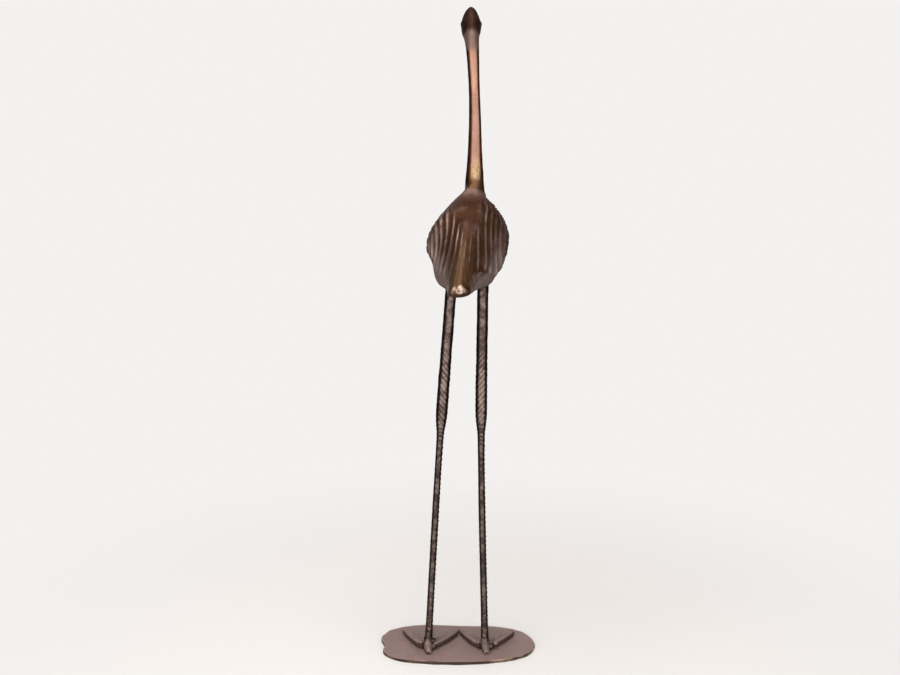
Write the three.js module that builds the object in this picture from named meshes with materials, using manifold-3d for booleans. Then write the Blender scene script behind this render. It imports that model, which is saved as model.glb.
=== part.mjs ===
// A cast metal flamingo standing on a thin oval plate.
// Millimetres. X runs to the right of someone behind the bird, Y the way it faces, Z up.
// The origin is the middle of the plate's underside.
import * as THREE from 'three';
import { LoftGeometry } from 'three/addons/geometries/LoftGeometry.js';
import { mergeVertices } from 'three/addons/utils/BufferGeometryUtils.js';
import Module from 'manifold-3d';

const wasm = await Module();
wasm.setup();

// Clearance between touching pieces, and how close two vertices must be to count as one.
const GAP = 0.3;
const WELD = 1e-3;

// The plate: a rough oval, flat along its far side, with a notch where the left lobe ends.
const PLATE_THICKNESS = 5;
const PLATE_EDGE_ROUND = 1.4;
const PLATE_EDGE_STEPS = 2;
const PLATE_OUTLINE_STEPS = 52;
const PLATE_OUTLINE = [
  [118, -8], [107, -36], [76, -56], [14, -68], [-57, -64], [-96, -52], [-114, -29], [-112.5, -8],
  [-119, 18], [-106, 49], [-66, 68], [3, 66], [64, 62], [100, 44], [116, 14],
];

// Legs. Each is a rod from the foot by the ankle joint up into a socket in the thigh, and thinner below
// the joint. The places are [x, y], and a row of the profile is a height and the rod's radius there.
const LEGS = {
  left: { foot: [-46, -20], ankle: [-26.1, -30], top: [-9, -12] },
  right: { foot: [41.5, -20], ankle: [33.9, -30], top: [36, -12] },
};
const ANKLE_Z = 350;
const LEG_TOP_Z = 580;
const LEG_AROUND = 14;
const LEG_PROFILE = [
  { z: PLATE_THICKNESS + GAP, radius: 6 },
  { z: 22, radius: 5.9 },
  { z: 44, radius: 5.4 },
  { z: 100, radius: 5.2 },
  { z: 220, radius: 5.2 },
  { z: 330, radius: 5.2 },
  { z: ANKLE_Z, radius: 5.7 },
  { z: 362, radius: 7.2 },
  { z: 376, radius: 8.4 },
  { z: 400, radius: 8.6 },
  { z: 460, radius: 8.3 },
  { z: 530, radius: 8.2 },
  { z: LEG_TOP_Z, radius: 8.2 },
];

// Feet: three webbed toes ahead and a short round one behind.
const TOE_AROUND = 12;
const TOE_STEPS = 6;
const TOE_SQUARENESS = 0.75;
// A toe starts at the heel or beside it and bends towards its tip. Its half widths and heights are read at even
// steps along it.
const FOOT_TURN = -4;
const OUTER_TOE = {
  start: [5, -2], bend: [22, 17], tip: [40.8, 54], halves: [6, 7, 6.2, 4.7], heights: [11, 12, 11, 10],
};
const MIDDLE_TOE = {
  start: [0, 0], bend: [0, 30], tip: [0, 70], halves: [5.2, 5.4, 4.4, 3.8], heights: [9, 8.8, 8, 7.5],
};
const HIND_TOE = {
  start: [0, 0], bend: [0.5, -10], tip: [4, -24], halves: [6, 6.4, 6, 3.6], heights: [26, 19, 12, 6.5],
};
const WEB_THICKNESS = 6;
const WEB_SCALLOP = 9;
const WEB_STEPS = 6;

// Sections of the bird, from the tail's tip to the bill's tip. Each is an oval slice: its top and bottom
// points as [y, z], half its width, the x of its middle, how far its top pinches to a ridge, how many rings
// of facets lie between it and the next, and the level at which it is widest, from 0 at its bottom to 1 at
// its top. Where none is given, that is halfway up.
const BIRD = {
  tailTip: { top: [-118, 575], bottom: [-118, 569], half: 6, middle: 0, ridge: 0, rings: 1 },
  tailEnd: { top: [-113, 581], bottom: [-113, 566], half: 11, middle: -0.5, ridge: 0, rings: 1, level: 0.3 },
  tail: { top: [-103, 592], bottom: [-103, 564], half: 15, middle: 1, ridge: 0.15, rings: 3, level: 0.18 },
  tailRoot: { top: [-80, 620], bottom: [-82, 566], half: 22.5, middle: 4.5, ridge: 0.3, rings: 6, level: 0.14 },
  rump: { top: [-46, 653], bottom: [-50, 569], half: 39.5, middle: 8.8, ridge: 0.36, rings: 7, level: 0.14 },
  back: { top: [-8, 679], bottom: [-10, 569], half: 52, middle: 13.2, ridge: 0.42, rings: 5 },
  wings: { top: [22, 689], bottom: [36, 576], half: 49.4, middle: 17, ridge: 0.38, rings: 4 },
  shoulders: { top: [36, 694], bottom: [66, 597], half: 39, middle: 17.8, ridge: 0.36, rings: 3 },
  breast: { top: [44, 701], bottom: [83, 635], half: 21.6, middle: 19.6, ridge: 0.32, rings: 3 },
  collar: { top: [48, 713], bottom: [85, 669], half: 15.4, middle: 24, ridge: 0.2, rings: 2 },
  neckBase: { top: [50, 730], bottom: [80, 702], half: 13.3, middle: 24.5, ridge: 0, rings: 2 },
  neckLow: { top: [48, 758], bottom: [70, 745], half: 10.7, middle: 24.8, ridge: 0, rings: 2 },
  neckMiddle: { top: [36, 806], bottom: [54, 800], half: 8.8, middle: 24.5, ridge: 0, rings: 2 },
  neckHigh: { top: [25, 850], bottom: [41, 851], half: 8, middle: 22.9, ridge: 0, rings: 2 },
  nape: { top: [27, 895], bottom: [44, 899], half: 9.2, middle: 20.8, ridge: 0, rings: 2 },
  headBack: { top: [34, 926], bottom: [60, 911], half: 11, middle: 19.2, ridge: 0.1, rings: 3 },
  crown: { top: [45, 951], bottom: [71, 913], half: 14.2, middle: 19, ridge: 0.1, rings: 3 },
  forehead: { top: [65, 963], bottom: [80, 914], half: 13, middle: 17.8, ridge: 0.18, rings: 3 },
  brow: { top: [82, 956], bottom: [87, 917], half: 10, middle: 19, ridge: 0.25, rings: 2 },
  billRoot: { top: [93, 944], bottom: [91, 918], half: 8.2, middle: 20.4, ridge: 0.3, rings: 2 },
  bridge: { top: [106, 936], bottom: [99, 911], half: 7.2, middle: 21.4, ridge: 0.3, rings: 2 },
  bend: { top: [121, 921], bottom: [106, 899], half: 6.6, middle: 22, ridge: 0.3, rings: 2 },
  hook: { top: [126, 900], bottom: [111, 888], half: 5.2, middle: 22, ridge: 0.2, rings: 2 },
  billTip: { top: [122, 882], bottom: [116, 879], half: 2.2, middle: 22, ridge: 0, rings: 0 },
};

// The body leans, so its underside sits to the left of its back, by this much at its widest.
const BODY_LEAN = 3.8;

// Carving. Places run from 0 at the tail's tip to 1 at the neck base, and angles are in degrees around a
// section, 0 along the back and 180 under the belly. A pair is where a form starts and where it is full.
// The wings' lower edge runs along each side from the tail to the shoulders. A feather's tip reaches past it
// and the valley beside it stops short. Towards the tail, the left wing has no crisp edge, and its flutes end
// higher up.
const WING_EDGE = { left: [92, 98], right: [50, 110], drops: [0.24, 0.54] };
const WING_TIPS = { scallop: 4, softness: 5, leftSoftness: 30, hardens: [0.36, 0.48], leftFlutesEnd: 80 };
const WINGS = { rise: 6, onLeft: [0.45, 0.5], onRight: [0.26, 0.5], toNeck: [0.93, 0.72], fromBack: [0, 40] };

// The crests of the feathers, each by its line at the tail and at the shoulders. A line is the angle that it
// has at the body's widest section, and it is below 0 on the left. The lines gather ahead of there.
const CRESTS = [
  [-110, -116], [-97, -104], [-84, -92], [-76, -84], [-68, -76], [-60, -67], [-52, -56], [-44, -44],
  [-33, -32], [-21, -21], [-10, -10], [2, 2], [12, 12], [25, 22], [36, 38], [44, 46], [52, 54], [61, 62],
  [72, 73], [82, 82], [91, 91], [103, 103], [115, 115], [125, 125],
];
const CREST_PLACES = [0.35, 0.65];
const GATHERS = { onLeft: 0.05, onRight: 0.45, places: [0.5, 0.65] };
const FEATHERS = { depth: 3, fromTail: [0.04, 0.26], softness: 10 };

// The middle of the back is smooth, out to a line on the left and one on the right at each of these places.
const SMOOTH = {
  left: [[0.34, 0], [0.4, 20], [0.45, 32], [0.5, 43], [0.63, 66], [0.8, 90]],
  right: [[0.34, 0], [0.38, 22], [0.45, 36], [0.56, 30], [0.62, 42], [0.75, 66]],
};

const THIGH = { rise: 11, place: 0.49, length: 0.07, angle: 145, spread: 22 };
// A lip runs along the bottom of each flank.
const LIP = { left: 0.6, right: 1.4, angle: 86, width: 13, from: [0.16, 0.24], to: [0.5, 0.42] };

// Places on the head run from 0 at the neck base to 1 at the bill's tip.
const EYE = { rise: 1.6, place: 0.485, length: 0.035, angle: 80, spread: 13 };

// The lines that join the rings of facets bend softly: an angle is the mean of those this far behind and
// ahead of it.
const SETTLING = [-0.06, -0.04, -0.02, 0, 0.02, 0.04, 0.06];
const BELLY_FACETS = 6;

const COLOURS = {
  bird: { color: 0x6b4a38, roughness: 0.42, metalness: 0.85 },
  leg: { color: 0x5d524b, roughness: 0.5, metalness: 0.8 },
  plate: { color: 0x7d6a66, roughness: 0.6, metalness: 0.7 },
};

const { clamp, degToRad, lerp, radToDeg, smoothstep } = THREE.MathUtils;

// Goes smoothly from 0 where a form starts to 1 where it is full.
const fade = (value, [start, full]) => smoothstep((value - start) / (full - start), 0, 1);

// 1 at the middle of a soft lobe and near 0 beyond its reach.
const lobe = (value, middle, reach) => Math.exp(-(((value - middle) / reach) ** 2));

// A closed mesh as a solid: doubled vertices are welded and faces that shrink to a line are dropped.
function solid(geometry) {
  const bare = new THREE.BufferGeometry();
  bare.setAttribute('position', geometry.attributes.position);
  bare.setIndex(geometry.index);
  const welded = mergeVertices(bare, WELD);
  const corners = welded.index.array;
  const kept = [];
  for (let i = 0; i < corners.length; i += 3) {
    const [a, b, c] = corners.slice(i, i + 3);
    if (a !== b && b !== c && c !== a) kept.push(a, b, c);
  }
  const vertProperties = new Float32Array(welded.attributes.position.array);
  return new wasm.Manifold(new wasm.Mesh({ numProp: 3, vertProperties, triVerts: new Uint32Array(kept) }));
}

function geometryOf(body) {
  const { vertProperties, triVerts } = body.getMesh();
  const geometry = new THREE.BufferGeometry();
  geometry.setAttribute('position', new THREE.BufferAttribute(vertProperties, 3));
  geometry.setIndex(new THREE.BufferAttribute(triVerts, 1));
  geometry.computeVertexNormals();
  return geometry;
}

// The volume of a closed loft tells which way its faces point, so a loft that is inside out is reversed.
function loft(sections) {
  const skin = (rings) => solid(new LoftGeometry(rings, { capStart: true, capEnd: true }));
  const made = skin(sections);
  return made.volume() > 0 ? made : skin(sections.map((ring) => [...ring].reverse()));
}

function mesh(name, body, look) {
  const made = new THREE.Mesh(geometryOf(body), new THREE.MeshStandardMaterial(look));
  made.name = name;
  return made;
}

// A smooth curve through the rows, whose values are read at any place along it.
function through(places, rows) {
  const curve = new THREE.CubicInterpolant(places, rows.flat(), rows[0].length);
  return (place) => [...curve.evaluate(place)];
}

// The plate

function basePlate() {
  const corners = PLATE_OUTLINE.map(([x, y]) => new THREE.Vector3(x, y, 0));
  const rim = new THREE.CatmullRomCurve3(corners, true).getSpacedPoints(PLATE_OUTLINE_STEPS).slice(0, -1);
  const inset = rim.map(({ x, y }) => {
    const shrink = 1 - PLATE_EDGE_ROUND / Math.hypot(x, y);
    return new THREE.Vector2(x * shrink, y * shrink);
  });
  const slab = new THREE.ExtrudeGeometry(new THREE.Shape(inset.reverse()), {
    depth: PLATE_THICKNESS - 2 * PLATE_EDGE_ROUND,
    bevelSize: PLATE_EDGE_ROUND,
    bevelThickness: PLATE_EDGE_ROUND,
    bevelSegments: PLATE_EDGE_STEPS,
  });
  return solid(slab.translate(0, 0, PLATE_EDGE_ROUND));
}

// The legs and feet

// Grown by a clearance, the same rod cuts its own socket.
function rod({ foot, ankle, top }, clearance = 0) {
  const axis = through([0, ANKLE_Z, LEG_TOP_Z], [foot, ankle, top]);
  return loft(LEG_PROFILE.map(({ z, radius }) => {
    const [x, y] = axis(z);
    const height = z === LEG_TOP_Z ? z + clearance : z;
    return Array.from({ length: LEG_AROUND }, (_, i) => {
      const angle = (i / LEG_AROUND) * 2 * Math.PI;
      const reach = radius + clearance;
      return new THREE.Vector3(x + reach * Math.cos(angle), y + reach * Math.sin(angle), height);
    });
  }));
}

// A toe is a bar with a flat sole and a rounded back, carried along a bent path from the heel.
function toe({ start, bend, tip, halves, heights }, side = 1) {
  const corners = [start, bend, tip].map(([x, y]) => new THREE.Vector2(side * x, y));
  const path = new THREE.QuadraticBezierCurve(...corners);
  const places = halves.map((_, i) => i / (halves.length - 1));
  const size = through(places, halves.map((half, i) => [half, heights[i]]));
  const rings = Array.from({ length: TOE_STEPS + 1 }, (_, step) => {
    const along = step / TOE_STEPS;
    const { x, y } = path.getPoint(along);
    const ahead = path.getTangent(along);
    const [half, height] = size(along);
    return Array.from({ length: TOE_AROUND }, (__, i) => {
      const angle = (i / TOE_AROUND) * 2 * Math.PI;
      const across = half * Math.sign(Math.cos(angle)) * Math.abs(Math.cos(angle)) ** TOE_SQUARENESS;
      const up = height * Math.max(0, Math.sin(angle)) ** TOE_SQUARENESS;
      return new THREE.Vector3(x - ahead.y * across, y + ahead.x * across, up);
    });
  });
  return loft(rings);
}

// The web fills the fan between the toes, with a scallop cut into its front between each pair of tips.
function web() {
  const outline = new THREE.Shape();
  const [sideX, sideY] = OUTER_TOE.tip;
  const [, frontY] = MIDDLE_TOE.tip;
  const scallopX = sideX / 2;
  const scallopY = (sideY + frontY) / 2 - WEB_SCALLOP;
  outline.moveTo(0, 0);
  outline.lineTo(OUTER_TOE.bend[0], OUTER_TOE.bend[1]);
  outline.lineTo(sideX, sideY);
  outline.quadraticCurveTo(scallopX, scallopY, 0, frontY);
  outline.quadraticCurveTo(-scallopX, scallopY, -sideX, sideY);
  outline.lineTo(-OUTER_TOE.bend[0], OUTER_TOE.bend[1]);
  outline.closePath();
  return solid(new THREE.ExtrudeGeometry(outline, {
    depth: WEB_THICKNESS,
    bevelEnabled: false,
    curveSegments: WEB_STEPS,
  }));
}

function leg(stance) {
  const toes = [toe(OUTER_TOE), toe(OUTER_TOE, -1), toe(MIDDLE_TOE), toe(HIND_TOE), web()];
  const joined = toes.reduce((whole, piece) => whole.add(piece)).rotate([0, 0, FOOT_TURN]);
  return rod(stance).add(joined.translate([...stance.foot, PLATE_THICKNESS + GAP]));
}

// The bird

const SECTIONS = Object.values(BIRD);
const LAST = SECTIONS.length - 1;
const NECK_BASE = Object.keys(BIRD).indexOf('neckBase');
const WIDEST = Object.keys(BIRD).indexOf('back') / NECK_BASE;
const HALF = 4;

const sectionAt = through(
  SECTIONS.map((_, i) => i),
  SECTIONS.map(({ top, bottom, half, middle, ridge, level = 0.5 }) => (
    [...top, ...bottom, half, middle, ridge, level]
  )),
);

// How far out the smooth middle of the back reaches at a place, by straight steps between the given ones.
function outTo(pairs) {
  return new THREE.LinearInterpolant(pairs.map(([place]) => place), pairs.map(([, line]) => line), 1);
}
const SMOOTH_TO = { left: outTo(SMOOTH.left), right: outTo(SMOOTH.right) };

// The crests' lines at a place, and how much closer together they lie there than at the widest section.
function crestsAt(place) {
  const share = clamp((place - CREST_PLACES[0]) / (CREST_PLACES[1] - CREST_PLACES[0]), 0, 1);
  return CRESTS.map(([atTail, atShoulders]) => lerp(atTail, atShoulders, share));
}

function gathering(place, side) {
  return 1 + (side > 0 ? GATHERS.onRight : GATHERS.onLeft) * fade(place, GATHERS.places);
}

// The lines along the bird that join its rings: one for each feather's crest and each valley between two, and
// even steps under the belly. They run on past 180 there, up the left side.
function linesAt(place) {
  const crests = crestsAt(place).map((crest) => crest / gathering(place, crest));
  const wings = crests.flatMap((crest, i) => (i ? [(crests[i - 1] + crest) / 2, crest] : [crest]));
  const lowest = wings.at(-1);
  const under = (360 + wings[0] - lowest) / BELLY_FACETS;
  return [...wings, ...Array.from({ length: BELLY_FACETS - 1 }, (_, i) => lowest + (i + 1) * under)];
}

// A turn from the back as an angle from 0 to 180 and the hand that it is on, -1 on the left.
function handed(turn) {
  return turn > 180 ? [360 - turn, -1] : [Math.abs(turn), Math.sign(turn)];
}

function wingEdge(place, hand) {
  const [atTail, atFlank] = hand < 0 ? WING_EDGE.left : WING_EDGE.right;
  return lerp(atTail, atFlank, fade(place, WING_EDGE.drops));
}

// The angle at which a line lies at a place. Ahead of the widest section it keeps its own angle. Behind it,
// it keeps its distance from the middle until it runs off the wing, and from there on the lines are spread
// evenly over the flank and the belly.
function angleAt(place, line, edge) {
  if (place >= WIDEST) return line;
  const width = sectionAt(place * NECK_BASE)[HALF] / BIRD.back.half;
  const outermost = radToDeg(Math.asin(width * Math.sin(degToRad(Math.min(edge, 90)))));
  const last = outermost + Math.max(edge - 90, 0);
  if (line > last) return lerp(edge, 180, (line - last) / (180 - last));
  if (line > outermost) return 90 + line - outermost;
  return radToDeg(Math.asin(Math.sin(degToRad(line)) / width));
}

// The turns from the back at which the lines lie at a place.
function turnsAt(place) {
  const near = SETTLING.map((step) => Math.max(place + step, 0));
  const rings = near.map((at) => linesAt(at).map((side) => {
    const [line, hand] = handed(side);
    const angle = angleAt(at, line, wingEdge(at, hand));
    return side > 180 ? 360 - angle : angle * hand;
  }));
  return rings[0].map((_, i) => rings.reduce((sum, ring) => sum + ring[i], 0) / rings.length);
}

// The line that runs through an angle at a place, down to the outermost point and on below it.
function lineAt(place, angle) {
  if (place >= WIDEST) return angle;
  const width = sectionAt(place * NECK_BASE)[HALF] / BIRD.back.half;
  return radToDeg(Math.asin(width * Math.sin(degToRad(Math.min(angle, 90))))) + Math.max(angle - 90, 0);
}

// 1 on the crests and 0 in the valleys, by the share of the way from one crest to the next.
function crestWave(place, side) {
  const crests = crestsAt(place);
  const passed = crests.slice(1).map((next, i) => clamp((side - crests[i]) / (next - crests[i]), 0, 1));
  return 0.5 + 0.5 * Math.cos(2 * Math.PI * passed.reduce((sum, share) => sum + share, 0));
}

// How far the wings, their feathers, the thighs and the lips stand out from the smooth body.
function carving(place, angle, edge, hand) {
  const onLeft = hand < 0;
  const side = lineAt(place, angle) * hand;
  const wave = crestWave(place, side * gathering(place, side));
  const hard = fade(place, WING_TIPS.hardens);
  const soft = onLeft ? lerp(WING_TIPS.leftSoftness, WING_TIPS.softness, hard) : WING_TIPS.softness;
  const tip = edge + WING_TIPS.scallop * (wave - 0.5);
  const ahead = fade(place, WINGS.toNeck);
  const onWing = fade(angle, [tip + soft, tip - soft]) * ahead;
  const fromTail = fade(place, onLeft ? WINGS.onLeft : WINGS.onRight);
  const wing = WINGS.rise * onWing * fromTail * fade(angle, WINGS.fromBack);
  const flutesEnd = onLeft ? lerp(WING_TIPS.leftFlutesEnd, edge, hard) : edge;
  const fluted = fade(angle, [flutesEnd + WING_TIPS.softness, flutesEnd - WING_TIPS.softness]) * ahead;
  const [smooth] = (onLeft ? SMOOTH_TO.left : SMOOTH_TO.right).evaluate(place);
  const offMiddle = fade(Math.abs(side) - smooth, [-FEATHERS.softness, 0]);
  const carved = fluted * fade(place, FEATHERS.fromTail) * offMiddle;
  const feathers = FEATHERS.depth * (wave - 0.5) * carved;
  const thigh = THIGH.rise * lobe(place, THIGH.place, THIGH.length) * lobe(angle, THIGH.angle, THIGH.spread);
  const alongLip = fade(place, LIP.from) * fade(place, LIP.to);
  const lip = (onLeft ? LIP.left : LIP.right) * lobe(angle, LIP.angle, LIP.width) * alongLip;
  return wing + feathers + thigh + lip;
}

// An eye stands out on each side of the head.
function eye(place, angle) {
  return EYE.rise * lobe(place, EYE.place, EYE.length) * lobe(angle, EYE.angle, EYE.spread);
}

function birdPoint(row, turn) {
  const [topY, topZ, bottomY, bottomZ, half, middle, ridge, level] = sectionAt(row);
  const place = row / NECK_BASE;
  const [angle, hand] = handed(turn);
  const up = Math.cos(degToRad(angle));
  const across = Math.sin(degToRad(angle)) * hand;
  const pinch = 1 - ridge * Math.max(up, 0) ** 2;
  const rise = up * (up > 0 ? 1 - level : level);
  const offset = new THREE.Vector3(half * across * pinch, (topY - bottomY) * rise, (topZ - bottomZ) * rise);
  const raised = row < NECK_BASE
    ? carving(place, angle, wingEdge(place, hand), hand)
    : eye((row - NECK_BASE) / (LAST - NECK_BASE), angle);
  offset.setLength(offset.length() + raised);
  const lean = BODY_LEAN * up * (half / BIRD.back.half);
  return offset.add(new THREE.Vector3(middle + lean, lerp(bottomY, topY, level), lerp(bottomZ, topZ, level)));
}

function bird() {
  const between = ({ rings }, i) => Array.from({ length: rings }, (_, step) => i + step / rings);
  const rows = [...SECTIONS.flatMap(between), LAST];
  const skin = loft(rows.map((row) => turnsAt(row / NECK_BASE).map((turn) => birdPoint(row, turn))));
  return Object.values(LEGS).reduce((body, stance) => body.subtract(rod(stance, GAP)), skin);
}

const flamingo = new THREE.Group();
flamingo.name = 'metal_flamingo';
flamingo.add(mesh('base_plate', basePlate(), COLOURS.plate));
flamingo.add(mesh('left_leg', leg(LEGS.left), COLOURS.leg));
flamingo.add(mesh('right_leg', leg(LEGS.right), COLOURS.leg));
flamingo.add(mesh('bird_body', bird(), COLOURS.bird));

export default flamingo;
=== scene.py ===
"""A cast bronze flamingo on a thin oval plate: fine relief and aged metal around the fixed frame.

Shapes are worked out in millimetres and become metres when they are made into meshes. X runs to the right of
someone behind the bird, Y the way it faces and Z up. The origin is the middle of the plate's underside.
"""
import math

import bpy
import numpy as np
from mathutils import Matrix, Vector


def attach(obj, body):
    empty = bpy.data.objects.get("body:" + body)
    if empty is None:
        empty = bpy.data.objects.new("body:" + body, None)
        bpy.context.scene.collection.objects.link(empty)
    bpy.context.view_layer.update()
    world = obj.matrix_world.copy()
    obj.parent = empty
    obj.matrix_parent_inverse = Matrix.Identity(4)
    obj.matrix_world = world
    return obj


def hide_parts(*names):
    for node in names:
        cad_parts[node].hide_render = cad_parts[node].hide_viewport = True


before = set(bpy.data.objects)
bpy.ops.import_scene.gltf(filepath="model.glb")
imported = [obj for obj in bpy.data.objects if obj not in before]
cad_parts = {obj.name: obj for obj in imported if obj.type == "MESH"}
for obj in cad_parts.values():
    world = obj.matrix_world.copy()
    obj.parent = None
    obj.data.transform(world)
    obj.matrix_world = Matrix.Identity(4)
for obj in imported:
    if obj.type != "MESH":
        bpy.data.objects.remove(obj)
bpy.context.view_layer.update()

MM = 0.001

# Sections of the bird from the tail's tip to the bill's tip. Each is an oval slice: its top and bottom points
# as y and z, half its width, the x of its middle, how far its top pinches to a ridge, and the level at which
# it is widest, from 0 at its bottom to 1 at its top.
SECTIONS = {
    "tail_tip": (-118, 575, -118, 569, 6, 0, 0, 0.5),
    "tail_end": (-113, 581, -113, 566, 11, -0.5, 0, 0.3),
    "tail": (-103, 592, -103, 564, 15, 1, 0.15, 0.18),
    "tail_root": (-80, 620, -82, 566, 22.5, 4.5, 0.3, 0.14),
    "rump": (-46, 653, -50, 569, 39.5, 8.8, 0.36, 0.14),
    "back": (-8, 679, -10, 569, 52, 13.2, 0.42, 0.5),
    "wings": (22, 689, 36, 576, 49.4, 17, 0.38, 0.5),
    "shoulders": (36, 694, 66, 597, 39, 17.8, 0.36, 0.5),
    "breast": (44, 701, 83, 635, 21.6, 19.6, 0.32, 0.5),
    "collar": (48, 713, 85, 669, 15.4, 24, 0.2, 0.5),
    "neck_base": (50, 730, 80, 702, 13.3, 24.5, 0, 0.5),
    "neck_low": (48, 758, 70, 745, 10.7, 24.8, 0, 0.5),
    "neck_middle": (36, 806, 54, 800, 8.8, 24.5, 0, 0.5),
    "neck_high": (25, 850, 41, 851, 8, 22.9, 0, 0.5),
    "nape": (27, 895, 44, 899, 9.2, 20.8, 0, 0.5),
    "head_back": (34, 926, 60, 911, 11, 19.2, 0.1, 0.5),
    "crown": (45, 951, 71, 913, 14.2, 19, 0.1, 0.5),
    "forehead": (65, 963, 80, 914, 13, 17.8, 0.18, 0.5),
    "brow": (82, 956, 87, 917, 10, 19, 0.25, 0.5),
    "bill_root": (93, 944, 91, 918, 8.2, 20.4, 0.3, 0.5),
    "bridge": (106, 936, 99, 911, 7.2, 21.4, 0.3, 0.5),
    "bend": (121, 921, 106, 899, 6.6, 22, 0.3, 0.5),
    "hook": (126, 900, 111, 888, 5.2, 22, 0.2, 0.5),
    "bill_tip": (122, 882, 116, 879, 2.2, 22, 0, 0.5),
}
ROW = {name: row for row, name in enumerate(SECTIONS)}
HALF_WIDTH = 4
BODY_LEAN = 3.8

# Places on the body run from 0 at the tail's tip to 1 at the neck base. Angles are in degrees around a
# section, 0 along the back and 180 under the belly. A pair is where a form starts and where it is full.
EDGE_ON_LEFT, EDGE_ON_RIGHT, EDGE_DROPS = (92, 98), (50, 110), (0.24, 0.54)
WING_RISE, WING_FROM_TAIL = 6, ((0.45, 0.5), (0.26, 0.5))
WING_TO_NECK, WING_FROM_BACK = (0.93, 0.72), (0, 40)
THIGH_RISE, THIGH_PLACE, THIGH_LENGTH, THIGH_ANGLE, THIGH_SPREAD = 11, 0.49, 0.07, 145, 22
# A lip along the bottom of each flank: how far it rises, on the left and the right.
LIP_RISE, LIP_ANGLE, LIP_WIDTH, LIP_FROM, LIP_TO = (0.6, 1.4), 86, 13, (0.16, 0.24), (0.5, 0.42)

# Feathers. A crest is named by its line at the tail and its line at the shoulders, which are angles at the
# body's widest section, on the left where they are below 0. The lines on the right gather ahead of there.
CRESTS = (
    (-110, -116), (-97, -104), (-84, -92), (-76, -84), (-68, -76), (-60, -67), (-52, -56), (-44, -44),
    (-33, -32), (-21, -21), (-10, -10), (2, 2), (12, 12), (25, 22), (36, 38), (44, 46), (52, 54), (61, 62),
    (72, 73), (82, 82), (91, 91), (103, 103), (115, 115), (125, 125),
)
CREST_PLACES = (0.35, 0.65)
GATHERED, GATHERED_ON_LEFT, GATHERS = 0.45, 0.05, (0.5, 0.65)
FEATHER_DEPTH, FEATHER_FROM_TAIL, FEATHER_STRAY, STRAY_SIZE = 2.2, (0.04, 0.26), 0.4, 40
CREST_SHARPNESS, CREST_LEAN = 5, 0.06
# The middle of the back is smooth, out to these lines on the left and on the right at these places.
SMOOTH_LEFT = ((0.34, 0), (0.4, 20), (0.45, 32), (0.5, 43), (0.63, 66), (0.8, 90))
SMOOTH_RIGHT = ((0.34, 0), (0.38, 22), (0.45, 36), (0.56, 30), (0.62, 42), (0.75, 66))
SMOOTH_SOFTNESS = 10
# The wing's edge is soft on the left behind these places, and the flutes run on below it there.
TIP_SCALLOP, TIP_SOFTNESS, TIP_HARDENS, FLUTES_DOWN_LEFT = 4, (30, 5), (0.36, 0.48), 80
FEATHER_WANDER, WANDER_SIZE = 1.4, 70
STRAND_ANGLE, STRAND_DEPTH, STRANDS_FADE = 4.2, 0.3, (0.46, 0.3)

# The mantle's edge lies across the neck base as a thin step, further forward at the sides.
MANTLE_PLACE, MANTLE_SWEEP, MANTLE_STEP, MANTLE_LENGTH, MANTLE_CRISPNESS = 0.81, 0.06, 0.9, 0.09, 0.006

# Domes of cast metal on the tail's end: row, angle, rise, reach and how far each is worn white.
TAIL_LUMPS = (
    (0.75, 12, 1.5, 5.2, 1.2), (0.55, 52, 1.3, 5.2, 1.2), (0.15, 30, 1.2, 4.4, 1), (0.9, -44, 1.4, 4.4, 1.2),
    (0.65, -74, 1.3, 4.4, 0.3), (0.35, -100, 1.4, 4.4, 0.2), (1.3, 72, 1, 4.8, 0.3), (0.1, -30, 1.2, 4, 0.6),
)

# Cast metal is never quite even: how far it strays, over what size.
CAST_WAVE, CAST_WAVE_SIZE = 0.35, 34
CAST_DENT, CAST_DENT_SIZE = 0.12, 9

# The head. The eye is a dome in a ring. The mouth and the nostrils are grooves, and the bill lies a little
# below the feathers of the face.
EYE_ROW, EYE_ANGLE, EYE_RADIUS, EYE_RISE, EYE_RING, EYE_GROOVE = 16.3, 80, 3.3, 1.5, 1.1, 0.5
MOUTH_ROWS, MOUTH_ANGLE, MOUTH_DROOP, MOUTH_WIDTH, MOUTH_DEPTH = (18.1, 18.7), 112, 4, 5, 0.8
NOSTRIL_ROW, NOSTRIL_LENGTH, NOSTRIL_ANGLE, NOSTRIL_WIDTH, NOSTRIL_DEPTH = 20.2, 0.3, 54, 7, 0.7
FACE_ROW, FACE_CURVE, FACE_STEP, FACE_CRISPNESS = 18.5, 0.35, 0.5, 0.05

# Patches of different metal. The neck is polished from the mantle to these rows, brassy low down with a
# painted highlight on the brass, and brown at its foot, and the head is dark. The tail is gilt between its
# lines, which draw in towards the back.
NECK_ENDS, HEAD_DARKENS, BRASS_HIGHLIGHT_ROWS = (14.35, 14.05), (14.95, 15.4), ((8.9, 9.4), (10.8, 10.1))
GILT_PLACE, GILT_LINES, GILT_NARROWS, GILT_SOFTNESS = (0.46, 0.24), (27, 8), (0.18, 0.42), 12
# How much lower the crests are on the gilt tail, how much less worn they are down the sides, and how far the
# gilt metal strays over what size.
GILT_CALM, SIDE_CREST_WEAR, SIDE_CREST_ANGLES = 0.8, 0.3, (60, 90)
GILT_LUMPS, GILT_LUMP_SIZE = 0.5, 13
# The shoulders are greyer from here on, and the neck is painted brightest around this row, a painted
# highlight.
SHOULDERS, HIGHLIGHT_ROW, HIGHLIGHT_REACH = (0.5, 0.76), 11.9, 1.2
# The sides of the neck are painted red brown and near black at their edges, a painted dark reflection. The
# facet under the right wing's edge is painted this much lighter, painted light where that edge shades it.
NECK_PAINTED_DARK, FACET_PAINTED_LIGHT = ((20, 74), (160, 120)), 0.55
# Degrees below the edge at which that painted light starts and is full, and how far before and past the
# mantle's edge the polish blends in.
UNDER_EDGE, POLISH_BLEND = (0, 8), (0.01, 0.012)

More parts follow.
